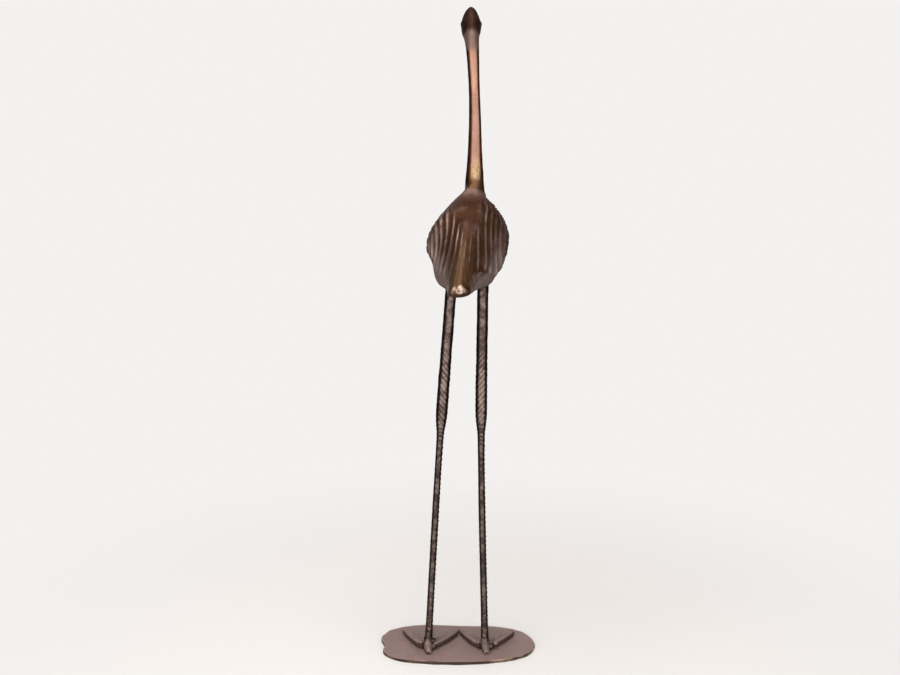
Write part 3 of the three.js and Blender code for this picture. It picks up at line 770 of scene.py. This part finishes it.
def web():
    """A skin that fans out from the heel to the scalloped front, sags between the toes and has faint ribs.

    Rings run across the fan. Each goes out along the top from the left to the right and back along the sole.
    """
    out, turn = np.meshgrid(np.linspace(0.04, 1, 110), np.linspace(0, 1, 240, endpoint=False), indexing="ij")
    share = 1 - 2 * np.abs(2 * turn - 1)
    on_top = turn < 0.5
    front_x, front_y = web_front(share)
    bow = lobe(np.abs(share), 1, 0.25) * 4 * np.sin(math.pi * out)
    between = np.sin(math.pi * np.abs(share)) ** 2
    ribs = WEB_RIB_RISE * np.cos(2 * math.pi * WEB_RIBS * share) * out
    top = WEB_THICKNESS - WEB_SAG * between * out + ribs
    thin = np.clip((1 - np.abs(share)) / 0.04, 0, 1) ** 0.5 * np.clip((1 - out) / 0.03, 0.1, 1) ** 0.5
    z = np.where(on_top, top * thin, 0)
    return swept(np.stack([front_x * out + np.sign(share) * bow, front_y * out, z], -1))


def ball(x, y, z, radius):
    """A lump of metal: a ball by its two angles, cut off flat at the sole."""
    tilt, around = np.meshgrid(
        np.linspace(0.05, math.pi - 0.05, 24), np.linspace(0, 2 * math.pi, 32, endpoint=False), indexing="ij"
    )
    flat = radius * np.sin(tilt)
    up = np.maximum(z + radius * np.cos(tilt), 0)
    return swept(np.stack([x + flat * np.cos(around), y + flat * np.sin(around), up], -1))


def build_foot(name, stance):
    """The foot's toes, claw, web and lumps, fused into one skin and softened."""
    parts = [toe(TOES["outer"], 1), toe(TOES["outer"], -1), toe(TOES["middle"], 1), claw(), web()]
    parts += [ball(*lump) for lump in HEEL_LUMPS[name]]
    turn = math.radians(FOOT_TURN)
    turned = np.array([[math.cos(turn), math.sin(turn), 0], [-math.sin(turn), math.cos(turn), 0], [0, 0, 1]])
    place = np.array([*stance["foot"], SOLE_Z])
    placed = [(points @ turned + place, faces) for points, faces in parts]
    foot = object_of(name + "_foot", mesh_of(name + "_foot", placed))
    fuse = foot.modifiers.new("fuse", "REMESH")
    fuse.mode = "VOXEL"
    fuse.voxel_size = FOOT_VOXEL * MM
    soften = foot.modifiers.new("soften", "SMOOTH")
    soften.iterations = FOOT_SMOOTHING
    return finished(foot)


def build_leg(name, material):
    stance = LEGS[name]
    leg = object_of(name + "_cast", mesh_of(name + "_cast", [rod(stance)]))
    foot = build_foot(name, stance)
    join = leg.modifiers.new("join", "BOOLEAN")
    join.operation = "UNION"
    join.solver = "MANIFOLD"
    join.object = foot
    finished(leg)
    bpy.data.objects.remove(foot)
    points = points_of(leg.data)
    height = points[:, 2]
    x, y = leg_axis(stance, np.clip(height, 0, LEG_TOP_Z))
    behind = (y - points[:, 1]) / np.maximum(np.hypot(points[:, 0] - x, points[:, 1] - y), 1)
    set_attribute(leg.data, "upper", fade(height, UPPER_LEG))
    set_attribute(leg.data, "low", fade(height, LOW_LEG))
    on_toes = lerp(CLAW_METAL, 1, fade(points[:, 1] - stance["foot"][1], CLAW_BEHIND))
    set_attribute(leg.data, "foot", fade(height, FOOT_METAL) * on_toes)
    # Painted light: the leg is lighter where it faces squarely behind or ahead, more so above the ankle.
    lighter = 1 + PAINTED_LIGHT_MORE * lobe(height, *PAINTED_LIGHT_AT)
    set_attribute(leg.data, "back", fade(np.abs(behind), PAINTED_LIGHT_FACING) * lighter)
    normals = np.empty(len(points) * 3, np.float32)
    leg.data.vertex_normals.foreach_get("vector", normals)
    set_attribute(leg.data, "steep", fade(normals.reshape(-1, 3)[:, 2], STEEP))
    # A painted shadow: the lowest part of the foot's sides is painted near black where it meets the plate.
    set_attribute(leg.data, "sole", fade(height, SOLE_SHADOW_LINE))
    return dress(leg, name, material, "leg")


# The plate


def plate_rim():
    """The plate's outline: a closed curve through its points.

    Between two points it is the cubic whose ends have the slopes of a centripetal curve, where the step
    between points is the root of their distance.
    """
    points = np.array(PLATE_OUTLINE, float)
    before, after, beyond = (np.roll(points, shift, axis=0) for shift in (1, -1, -2))
    step_in, step, step_out = (
        np.sqrt(np.linalg.norm(end - start, axis=1))[:, None]
        for start, end in ((before, points), (points, after), (after, beyond))
    )
    leaving = (points - before) / step_in - (after - before) / (step_in + step) + (after - points) / step
    arriving = (after - points) / step - (beyond - points) / (step + step_out) + (beyond - after) / step_out
    t = (np.arange(PLATE_CORNER_STEPS) / PLATE_CORNER_STEPS)[None, :, None]
    start, end, leave, arrive = (
        values[:, None] for values in (points, after, leaving * step, arriving * step)
    )
    curve = (
        (1 + 2 * t) * (1 - t) ** 2 * start
        + t * (1 - t) ** 2 * leave
        + t * t * (3 - 2 * t) * end
        + t * t * (t - 1) * arrive
    )
    return curve.reshape(-1, 2)


def plate_surface():
    """Rings from the middle of the underside out around the rim and in again over the top.

    A ring is the outline drawn in by a share, or by a distance on the rounded edge. The top and the rim stray
    a little, as a plate poured into sand does.
    """
    rim = plate_rim()
    reach = np.linalg.norm(rim, axis=1)
    quarter = np.radians(np.linspace(0, 90, PLATE_EDGE_STEPS))
    edge_in = PLATE_EDGE_ROUND * (1 - np.sin(quarter))
    edge_up = PLATE_EDGE_ROUND * (1 - np.cos(quarter))
    shares = np.linspace(0.02, 1, PLATE_RINGS)
    flat = PLATE_EDGE_ROUND * np.ones(PLATE_RINGS)
    inset = np.concatenate([flat[::6], edge_in[1:], edge_in[::-1][:-1], flat])
    share = np.concatenate([shares[::6], np.ones(2 * PLATE_EDGE_STEPS - 2), shares[::-1]])
    underside, top = np.zeros(len(shares[::6])), np.full(PLATE_RINGS, PLATE_THICKNESS)
    height = np.concatenate([underside, edge_up[1:], PLATE_THICKNESS - edge_up[::-1][:-1], top])
    stray = RIM_STRAY * unevenness(rim, RIM_STRAY_SIZE, 21)
    scale = (1 - (inset[:, None] - stray) / reach) * share[:, None]
    flat_points = rim * scale[..., None]
    waves = PLATE_WAVE * unevenness(flat_points, PLATE_WAVE_SIZE, 22)
    dents = PLATE_DENT * unevenness(flat_points, PLATE_DENT_SIZE, 23)
    level = height[:, None] + (waves + dents) * fade(height[:, None], (1, PLATE_THICKNESS))
    return np.concatenate([flat_points, level[..., None]], -1)


def build_plate(material):
    mesh = mesh_of("plate", [swept(plate_surface())])
    points = points_of(mesh)
    rim = plate_rim()
    turn_of = np.arctan2(rim[:, 1], rim[:, 0])
    order = np.argsort(turn_of)
    turns = np.arctan2(points[:, 1], points[:, 0])
    rim_reach = np.linalg.norm(rim, axis=1)[order]
    reach = np.interp(turns, turn_of[order], rim_reach, period=2 * math.pi)
    inside = reach - np.linalg.norm(points[:, :2], axis=1)
    set_attribute(mesh, "side", fade(inside, SIDE_METAL))
    set_attribute(mesh, "edge", lobe(inside, *EDGE_LINE) * fade(points[:, 2], (3, 4)))
    return dress(object_of("plate", mesh), "base_plate", material, "plate")


# Metal


def group_of(name, inputs, outputs):
    """An empty node group with named sockets, and its nodes for what goes in and out."""
    group = bpy.data.node_groups.new(name, "ShaderNodeTree")
    for socket, kind in inputs.items():
        group.interface.new_socket(socket, in_out="INPUT", socket_type="NodeSocket" + kind)
    for socket, kind in outputs.items():
        group.interface.new_socket(socket, in_out="OUTPUT", socket_type="NodeSocket" + kind)
    return group, group.nodes.new("NodeGroupInput"), group.nodes.new("NodeGroupOutput")


def wire(tree, socket, value):
    """Feeds a socket with another socket's output or with a plain value."""
    if isinstance(value, bpy.types.NodeSocket):
        tree.links.new(value, socket)
    else:
        socket.default_value = (*value, 1) if isinstance(value, tuple) and socket.type == "RGBA" else value


def maths(tree, operation, *values, clamp=False):
    """One arithmetic node."""
    node = tree.nodes.new("ShaderNodeMath")
    node.operation = operation
    node.use_clamp = clamp
    for socket, value in zip(node.inputs, values):
        wire(tree, socket, value)
    return node.outputs[0]


def remap(tree, value, low, high, start=0.0, end=1.0):
    """A value from low to high, moved smoothly to one from start to end and held there."""
    node = tree.nodes.new("ShaderNodeMapRange")
    node.interpolation_type = "SMOOTHSTEP"
    sockets = ("Value", "From Min", "From Max", "To Min", "To Max")
    for name, item in zip(sockets, (value, low, high, start, end)):
        wire(tree, node.inputs[name], item)
    return node.outputs["Result"]


def blended(tree, share, first, second, kind="RGBA"):
    """The first colour or number where the share is 0, and the second where it is 1."""
    node = tree.nodes.new("ShaderNodeMix")
    node.data_type = kind
    sockets = {socket.name: socket for socket in node.inputs if socket.enabled}
    for name, value in (("Factor", share), ("A", first), ("B", second)):
        wire(tree, sockets[name], value)
    return next(socket for socket in node.outputs if socket.enabled)


def clouds(tree, place, scale, detail=4.0, roughness=0.6, distortion=0.0):
    """One noise texture, about 0 to 1."""
    node = tree.nodes.new("ShaderNodeTexNoise")
    wire(tree, node.inputs["Vector"], place)
    wire(tree, node.inputs["Scale"], scale)
    wire(tree, node.inputs["Detail"], detail)
    wire(tree, node.inputs["Roughness"], roughness)
    wire(tree, node.inputs["Distortion"], distortion)
    return node.outputs["Fac"]


def attribute(tree, name, output="Fac"):
    """A number or vector stored on the piece's own mesh."""
    node = tree.nodes.new("ShaderNodeAttribute")
    node.attribute_name = name
    return node.outputs[output]


def make_patina_group():
    """Clouds of thicker and thinner patina, and specks in it, on a piece's own coordinates."""
    inputs = {"Place": "Vector", "Size": "Float", "Speck Size": "Float"}
    group, into, out = group_of("patina_clouds", inputs, {"Clouds": "Float", "Specks": "Float"})
    place = into.outputs["Place"]
    wide = clouds(group, place, maths(group, "DIVIDE", 1.0, into.outputs["Size"]), 5.0, 0.62, 0.4)
    fine = clouds(group, place, maths(group, "DIVIDE", 1.0, into.outputs["Speck Size"]), 3.0, 0.7)
    wire(group, out.inputs["Clouds"], remap(group, wide, 0.32, 0.68))
    wire(group, out.inputs["Specks"], remap(group, fine, 0.56, 0.7))
    return group


def make_aged_group():
    """Aged metal: dark patina in the hollows, a middle tone, and bare metal where hands have worn the crests.

    Wear is the relief plus the clouds' share and whatever the piece adds. It moves the colour from patina to
    bare metal, and the roughness and metallic with it.
    """
    inputs = {
        "Hollow": "Color", "Patina": "Color", "Bare": "Color",
        "Relief": "Float", "Clouds": "Float", "Specks": "Float", "Added Wear": "Float",
        "Patina Roughness": "Float", "Bare Roughness": "Float",
        "Patina Metallic": "Float", "Bare Metallic": "Float",
    }
    outputs = {"Color": "Color", "Roughness": "Float", "Metallic": "Float"}
    group, into, out = group_of("aged_metal", inputs, outputs)
    given = into.outputs
    uneven = maths(group, "MULTIPLY_ADD", given["Clouds"], 0.5, -0.25)
    speckled = maths(group, "MULTIPLY_ADD", given["Specks"], 0.25, uneven)
    level = maths(group, "ADD", maths(group, "ADD", given["Relief"], speckled), given["Added Wear"])
    wear = remap(group, level, 0.1, 0.95)
    below = maths(group, "MULTIPLY_ADD", given["Clouds"], -0.3, maths(group, "MULTIPLY", level, -1.0))
    hollow = remap(group, below, -0.05, 0.8)
    toned = blended(group, maths(group, "MULTIPLY", given["Clouds"], 0.35), given["Patina"], given["Hollow"])
    darkened = blended(group, hollow, toned, given["Hollow"])
    wire(group, out.inputs["Color"], blended(group, wear, darkened, given["Bare"]))
    rough = blended(group, wear, given["Patina Roughness"], given["Bare Roughness"], "FLOAT")
    wire(group, out.inputs["Roughness"], maths(group, "MULTIPLY_ADD", given["Clouds"], 0.12, rough))
    metal = blended(group, wear, given["Patina Metallic"], given["Bare Metallic"], "FLOAT")
    wire(group, out.inputs["Metallic"], metal)
    return group


def make_grain_group():
    """The skin of sand-cast metal: fine grain and scattered pits, as a height."""
    inputs = {"Place": "Vector", "Size": "Float", "Pits": "Float"}
    group, into, out = group_of("cast_grain", inputs, {"Height": "Float"})
    scale = maths(group, "DIVIDE", 1.0, into.outputs["Size"])
    grain = clouds(group, into.outputs["Place"], scale, 4.0, 0.65)
    pits = clouds(group, into.outputs["Place"], maths(group, "MULTIPLY", scale, 0.45), 2.0, 0.5)
    deep = maths(group, "MULTIPLY", remap(group, pits, 0.62, 0.74), into.outputs["Pits"])
    wire(group, out.inputs["Height"], maths(group, "SUBTRACT", grain, deep))
    return group


class Metal:
    """One material: a Principled shader, the piece's coordinates and the groups placed in it."""

    def __init__(self, name, groups, coat, coat_roughness):
        self.material = bpy.data.materials.new(name)
        self.material.use_nodes = True
        self.tree = self.material.node_tree
        self.shader = next(node for node in self.tree.nodes if node.type == "BSDF_PRINCIPLED")
        self.shader.inputs["Coat Weight"].default_value = coat
        self.shader.inputs["Coat Roughness"].default_value = coat_roughness
        self.place = self.tree.nodes.new("ShaderNodeTexCoord").outputs["Object"]
        self.groups = groups

    def use(self, group, **values):
        """Places a group and feeds its inputs, with spaces in their names written as underscores."""
        node = self.tree.nodes.new("ShaderNodeGroup")
        node.node_tree = self.groups[group]
        for name, value in values.items():
            wire(self.tree, node.inputs[name.replace("_", " ")], value)
        return node.outputs

    def finish(self, color, roughness, metallic, height, strength, depth):
        """Feeds the shader, with the height as a bump of this strength and depth in metres."""
        bump = self.tree.nodes.new("ShaderNodeBump")
        bump.inputs["Strength"].default_value = strength
        bump.inputs["Distance"].default_value = depth
        wire(self.tree, bump.inputs["Height"], height)
        sockets = ("Base Color", "Roughness", "Metallic", "Normal")
        for name, value in zip(sockets, (color, roughness, metallic, bump.outputs[0])):
            wire(self.tree, self.shader.inputs[name], value)
        return self.material


def bird_metal(groups):
    """Brown patina worn grey on the crests, a polished copper neck, a golden tail and a dark matt head. The
    neck has painted highlights on its middle and on its brass, and painted dark sides.
    """
    metal = Metal("bird_bronze", groups, 0.0, 0.4)
    tree = metal.tree
    relief, crest, lip, shoulders, head, tail, tip = (
        attribute(tree, name) for name in ("relief", "crest", "lip", "shoulders", "head", "tail", "tip")
    )
    neck, painted_dark_sides, held, nape, base, foot = (
        attribute(tree, name) for name in ("neck", "painted_dark_sides", "held", "nape", "base", "foot")
    )
    patina = metal.use("patina_clouds", Place=metal.place, Size=0.03, Speck_Size=0.0035)
    stretch = tree.nodes.new("ShaderNodeMapping")
    stretch.inputs["Scale"].default_value = (1, 1, 2.5)
    wire(tree, stretch.inputs["Vector"], attribute(tree, "streaks", "Vector"))
    streaks = remap(tree, clouds(tree, stretch.outputs[0], 9.0, 5.0, 0.65), 0.35, 0.68)
    fine_streaks = remap(tree, clouds(tree, stretch.outputs[0], 26.0, 3.0, 0.6), 0.4, 0.66)

    gilt = maths(tree, "MULTIPLY", tail, remap(tree, streaks, 0.0, 1.0, 0.4, 1.0))
    lighter = maths(tree, "MULTIPLY", nape, remap(tree, patina["Clouds"], 0.0, 1.0, 0.6, 1.0))
    plain = blended(tree, shoulders, (0.092, 0.036, 0.017), (0.26, 0.16, 0.13))
    clouded = blended(tree, patina["Clouds"], (0.15, 0.078, 0.032), (0.075, 0.033, 0.012))
    plain = blended(tree, gilt, plain, clouded)
    plain = blended(tree, lighter, plain, (0.3, 0.2, 0.17))
    plain = blended(tree, head, plain, (0.08, 0.04, 0.028))
    hollow = blended(tree, gilt, (0.03, 0.01, 0.004), (0.05, 0.02, 0.006))
    bare = blended(tree, gilt, (0.28, 0.2, 0.172), (0.2, 0.112, 0.046))
    # The lip along each flank is worn pale, and the facet under the right wing's edge is painted pale as
    # painted light.
    bare = blended(tree, lip, bare, (0.44, 0.33, 0.3))
    bare = blended(tree, tip, bare, (0.62, 0.48, 0.4))
    crested = maths(tree, "MULTIPLY", crest, remap(tree, patina["Clouds"], 0.1, 0.8, 0.25, 0.7))
    crested = maths(tree, "MULTIPLY", crested, maths(tree, "MULTIPLY_ADD", gilt, -0.85, 1.0))
    added = maths(tree, "MULTIPLY_ADD", tip, 1.1, maths(tree, "MULTIPLY", head, -0.5))
    lipped = maths(tree, "MULTIPLY", lip, remap(tree, streaks, 0.0, 1.0, 0.9, 1.5))
    for more in (crested, lipped, maths(tree, "MULTIPLY", gilt, 0.1)):
        added = maths(tree, "ADD", added, more)
    aged = metal.use(
        "aged_metal", Hollow=hollow, Patina=plain, Bare=bare, Relief=maths(tree, "MULTIPLY", relief, 0.38),
        Clouds=maths(tree, "MULTIPLY_ADD", patina["Clouds"], 0.4, maths(tree, "MULTIPLY", streaks, 0.35)),
        Specks=maths(tree, "MULTIPLY", patina["Specks"], remap(tree, shoulders, 0.0, 1.0, 0.35, 1.0)),
        Added_Wear=added, Patina_Roughness=0.6, Bare_Roughness=0.48,
        Patina_Metallic=0.85, Bare_Metallic=0.85,
    )
    blotches = maths(tree, "MULTIPLY", neck, remap(tree, patina["Clouds"], 0.0, 0.5, 0.9, 1.0))
    copper = blended(tree, fine_streaks, (0.4, 0.215, 0.15), (0.48, 0.275, 0.2))
    # Painted highlight: the neck is painted brighter copper around the row of the highlight.
    copper = blended(tree, held, copper, blended(tree, fine_streaks, (0.7, 0.41, 0.31), (0.84, 0.55, 0.44)))
    # Brass low on the neck, partly brass colour and partly a painted highlight in pale yellow.
    brass_and_highlight = maths(tree, "MULTIPLY", base, remap(tree, patina["Clouds"], 0.1, 0.7, 0.3, 1.0))
    copper = blended(tree, brass_and_highlight, copper, blended(tree, fine_streaks, (0.36, 0.23, 0.11), (0.75, 0.56, 0.36)))
    copper = blended(tree, foot, copper, (0.2, 0.105, 0.05))
    # Painted dark reflection: the sides of the neck go red brown, then near black at their edges.
    copper = blended(tree, remap(tree, painted_dark_sides, 0.01, 0.3), copper, (0.19, 0.062, 0.022))
    copper = blended(tree, remap(tree, painted_dark_sides, 0.42, 0.88), copper, (0.016, 0.005, 0.003))
    copper = blended(tree, maths(tree, "MULTIPLY", patina["Specks"], 0.4), copper, (0.22, 0.09, 0.04))
    rough_copper = remap(tree, streaks, 0.0, 1.0, 0.52, 0.6)
    color = blended(tree, blotches, aged["Color"], copper)
    roughness = blended(tree, blotches, aged["Roughness"], rough_copper, "FLOAT")
    metallic = blended(tree, blotches, aged["Metallic"], 0.95, "FLOAT")
    grain = metal.use("cast_grain", Place=metal.place, Size=0.0022, Pits=0.5)
    height = maths(tree, "MULTIPLY", grain["Height"], remap(tree, neck, 0.0, 1.0, 1.0, 0.35))
    return metal.finish(color, roughness, metallic, height, strength=0.5, depth=0.0005)


def leg_metal(groups):
    """Dark metal painted light behind and ahead and dark on its sides, brassy specks low down, feet like the
    plate.
    """
    metal = Metal("leg_bronze", groups, 0.0, 0.4)
    tree = metal.tree
    relief, upper, low, back, foot, steep, sole = (
        attribute(tree, name) for name in ("relief", "upper", "low", "back", "foot", "steep", "sole")
    )
    patina = metal.use("patina_clouds", Place=metal.place, Size=0.014, Speck_Size=0.0036)
    brassy = maths(tree, "MULTIPLY", low, patina["Specks"])
    bare = blended(tree, brassy, (0.3, 0.23, 0.2), (0.6, 0.42, 0.25))
    bare = blended(tree, foot, bare, (0.42, 0.31, 0.27))
    plain = blended(tree, upper, (0.058, 0.038, 0.033), (0.078, 0.05, 0.044))
    # Painted shade: the leg is near black on its sides, away from where it faces behind or ahead.
    plain = blended(tree, back, (0.011, 0.004, 0.003), plain)
    # The foot's steep sides are darker, and near black low down as a painted shadow along the sole.
    side = blended(tree, sole, (0.1, 0.06, 0.05), (0.014, 0.006, 0.004))
    plain = blended(tree, foot, plain, blended(tree, steep, (0.36, 0.25, 0.228), side))
    # More wear where the leg faces behind or ahead, a painted highlight.
    worn = remap(tree, back, 0.0, 1.0, 0.15, 0.4)
    lighter = maths(tree, "MULTIPLY", back, remap(tree, patina["Clouds"], 0.0, 1.0, 0.12, 0.35))
    on_foot = maths(tree, "MULTIPLY", foot, maths(tree, "MULTIPLY_ADD", steep, -0.3, -0.1))
    added = maths(tree, "ADD", maths(tree, "MULTIPLY_ADD", brassy, 0.5, lighter), on_foot)
    aged = metal.use(
        "aged_metal", Hollow=(0.018, 0.009, 0.006), Patina=plain, Bare=bare,
        Relief=maths(tree, "MULTIPLY", relief, worn),
        Clouds=maths(tree, "MULTIPLY_ADD", patina["Clouds"], 0.45, 0.25), Specks=patina["Specks"],
        Added_Wear=added, Patina_Roughness=0.55, Bare_Roughness=0.45,
        Patina_Metallic=blended(tree, foot, 0.75, 0.2, "FLOAT"), Bare_Metallic=0.8,
    )
    grain = metal.use("cast_grain", Place=metal.place, Size=0.0018, Pits=0.8)
    return metal.finish(
        aged["Color"], aged["Roughness"], aged["Metallic"], grain["Height"], strength=0.6, depth=0.0005
    )


def plate_metal(groups):
    """Matt mauve brown, clouded and scuffed, with a dark side, a worn line on its edge and bright spots."""
    metal = Metal("plate_bronze", groups, 0.0, 0.5)
    tree = metal.tree
    relief, side, edge = (attribute(tree, name) for name in ("relief", "side", "edge"))
    patina = metal.use("patina_clouds", Place=metal.place, Size=0.045, Speck_Size=0.004)
    worn_spots = remap(tree, clouds(tree, metal.place, 75.0, 4.0, 0.65), 0.6, 0.78)
    on_line = maths(tree, "MULTIPLY", edge, maths(tree, "MULTIPLY_ADD", patina["Clouds"], 0.6, 0.1))
    on_side = maths(tree, "MULTIPLY", side, maths(tree, "MULTIPLY_ADD", worn_spots, 1.3, -0.3))
    bare = blended(tree, side, (0.42, 0.31, 0.28), (0.6, 0.42, 0.26))
    plain = blended(tree, side, (0.38, 0.262, 0.24), (0.035, 0.013, 0.009))
    hollow = blended(tree, side, (0.24, 0.16, 0.142), (0.015, 0.006, 0.004))
    aged = metal.use(
        "aged_metal", Hollow=hollow, Patina=plain, Bare=bare, Relief=maths(tree, "MULTIPLY", relief, 0.5),
        Clouds=patina["Clouds"], Specks=patina["Specks"], Added_Wear=maths(tree, "ADD", on_line, on_side),
        Patina_Roughness=0.62, Bare_Roughness=0.45, Patina_Metallic=0.2, Bare_Metallic=0.7,
    )
    grain = metal.use("cast_grain", Place=metal.place, Size=0.003, Pits=0.6)
    return metal.finish(
        aged["Color"], aged["Roughness"], aged["Metallic"], grain["Height"], strength=0.5, depth=0.0006
    )


# The studio

CAMERA_PLACE, CAMERA_PITCH, CAMERA_LENS = (-0.012, -1.9566, 0.882), 78.57, 54.16
BACKDROP = (0.9, 0.88, 0.87)
SURROUNDINGS = (0.05, 0.04, 0.038)
FLOOR_COLOR = (0.8, 0.78, 0.76)
FLOOR_HALF, FLOOR_FADE, FLOOR_GLOW = 4.0, (0.3, 1.0), 0.3
# Soft lights: place, the point each is turned to, width, height, power and colour. The first three stand in
# an arc behind the camera, and the last is the pale wall ahead of the bird.
LIGHTS = {
    "key": ((-0.2, -2.6, 0.87), (0, 0, 0.8), 2.4, 1.7, 34, (1, 0.97, 0.95)),
    "left": ((-1.8, -2.2, 0.87), (0, 0, 0.8), 1.9, 1.7, 33, (1, 0.97, 0.95)),
    "right": ((1.9, -2.1, 0.87), (0, 0, 0.8), 1.8, 1.7, 32, (1, 0.97, 0.95)),
    "top": ((-0.3, -0.5, 2.6), (0, 0, 0.6), 1.8, 1.8, 40, (1, 0.98, 0.97)),
    "wall": ((0, 2.2, 0.7), (0, 0, 0.2), 3.0, 1.2, 12, (1, 0.98, 0.97)),
}


def build_camera():
    """The camera at the photograph's angle: level with the head, behind the bird, pitched down a little."""
    camera = bpy.data.objects.new("camera", bpy.data.cameras.new("camera"))
    camera.data.lens = CAMERA_LENS
    camera.location = CAMERA_PLACE
    camera.rotation_euler = (math.radians(CAMERA_PITCH), 0, 0)
    bpy.context.scene.collection.objects.link(camera)
    bpy.context.scene.camera = camera


def build_lights():
    """Soft area lights, each turned to its point."""
    for name, (place, target, width, height, power, color) in LIGHTS.items():
        light = bpy.data.lights.new(name, "AREA")
        light.shape = "RECTANGLE"
        light.size, light.size_y = width, height
        light.energy, light.color = power, color
        lamp = bpy.data.objects.new(name, light)
        lamp.location = place
        lamp.rotation_euler = (Vector(target) - Vector(place)).to_track_quat("-Z", "Y").to_euler()
        lamp.visible_camera = False
        bpy.context.scene.collection.objects.link(lamp)


def build_world():
    """A pale backdrop for the camera and a dimmer room in the reflections."""
    world = bpy.data.worlds.new("studio")
    world.use_nodes = True
    tree = world.node_tree
    background = next(node for node in tree.nodes if node.type == "BACKGROUND")
    seen = tree.nodes.new("ShaderNodeLightPath").outputs["Is Camera Ray"]
    wire(tree, background.inputs["Color"], blended(tree, seen, SURROUNDINGS, BACKDROP))
    bpy.context.scene.world = world


def build_floor():
    """A plain pale floor that fades into the backdrop with the distance from the plate."""
    corners = [(FLOOR_HALF * x, FLOOR_HALF * y, 0) for x, y in ((-1, -1), (1, -1), (1, 1), (-1, 1))]
    mesh = bpy.data.meshes.new("floor")
    mesh.from_pydata(corners, [], [(0, 1, 2, 3)])
    floor = object_of("floor", mesh)
    material = bpy.data.materials.new("floor")
    material.use_nodes = True
    tree = material.node_tree
    shader = next(node for node in tree.nodes if node.type == "BSDF_PRINCIPLED")
    place = tree.nodes.new("ShaderNodeTexCoord").outputs["Object"]
    length = tree.nodes.new("ShaderNodeVectorMath")
    length.operation = "LENGTH"
    wire(tree, length.inputs[0], place)
    mottle = remap(tree, clouds(tree, place, 3.0), 0.3, 0.7, 0.97, 1.0)
    wire(tree, shader.inputs["Base Color"], blended(tree, mottle, (0.7, 0.68, 0.66), FLOOR_COLOR))
    shader.inputs["Roughness"].default_value = 0.6
    seen = tree.nodes.new("ShaderNodeLightPath").outputs["Is Camera Ray"]
    shader.inputs["Emission Color"].default_value = (*FLOOR_COLOR, 1)
    wire(tree, shader.inputs["Emission Strength"], maths(tree, "MULTIPLY", seen, FLOOR_GLOW))
    wire(tree, shader.inputs["Alpha"], remap(tree, length.outputs["Value"], FLOOR_FADE[1], FLOOR_FADE[0]))
    mesh.materials.append(material)


bpy.context.scene.view_settings.view_transform = "Standard"
build_camera()
build_lights()
build_world()
build_floor()
groups = {
    "patina_clouds": make_patina_group(), "aged_metal": make_aged_group(), "cast_grain": make_grain_group(),
}
build_bird(bird_metal(groups))
legs_bronze = leg_metal(groups)
for leg_name in LEGS:
    build_leg(leg_name, legs_bronze)
build_plate(plate_metal(groups))
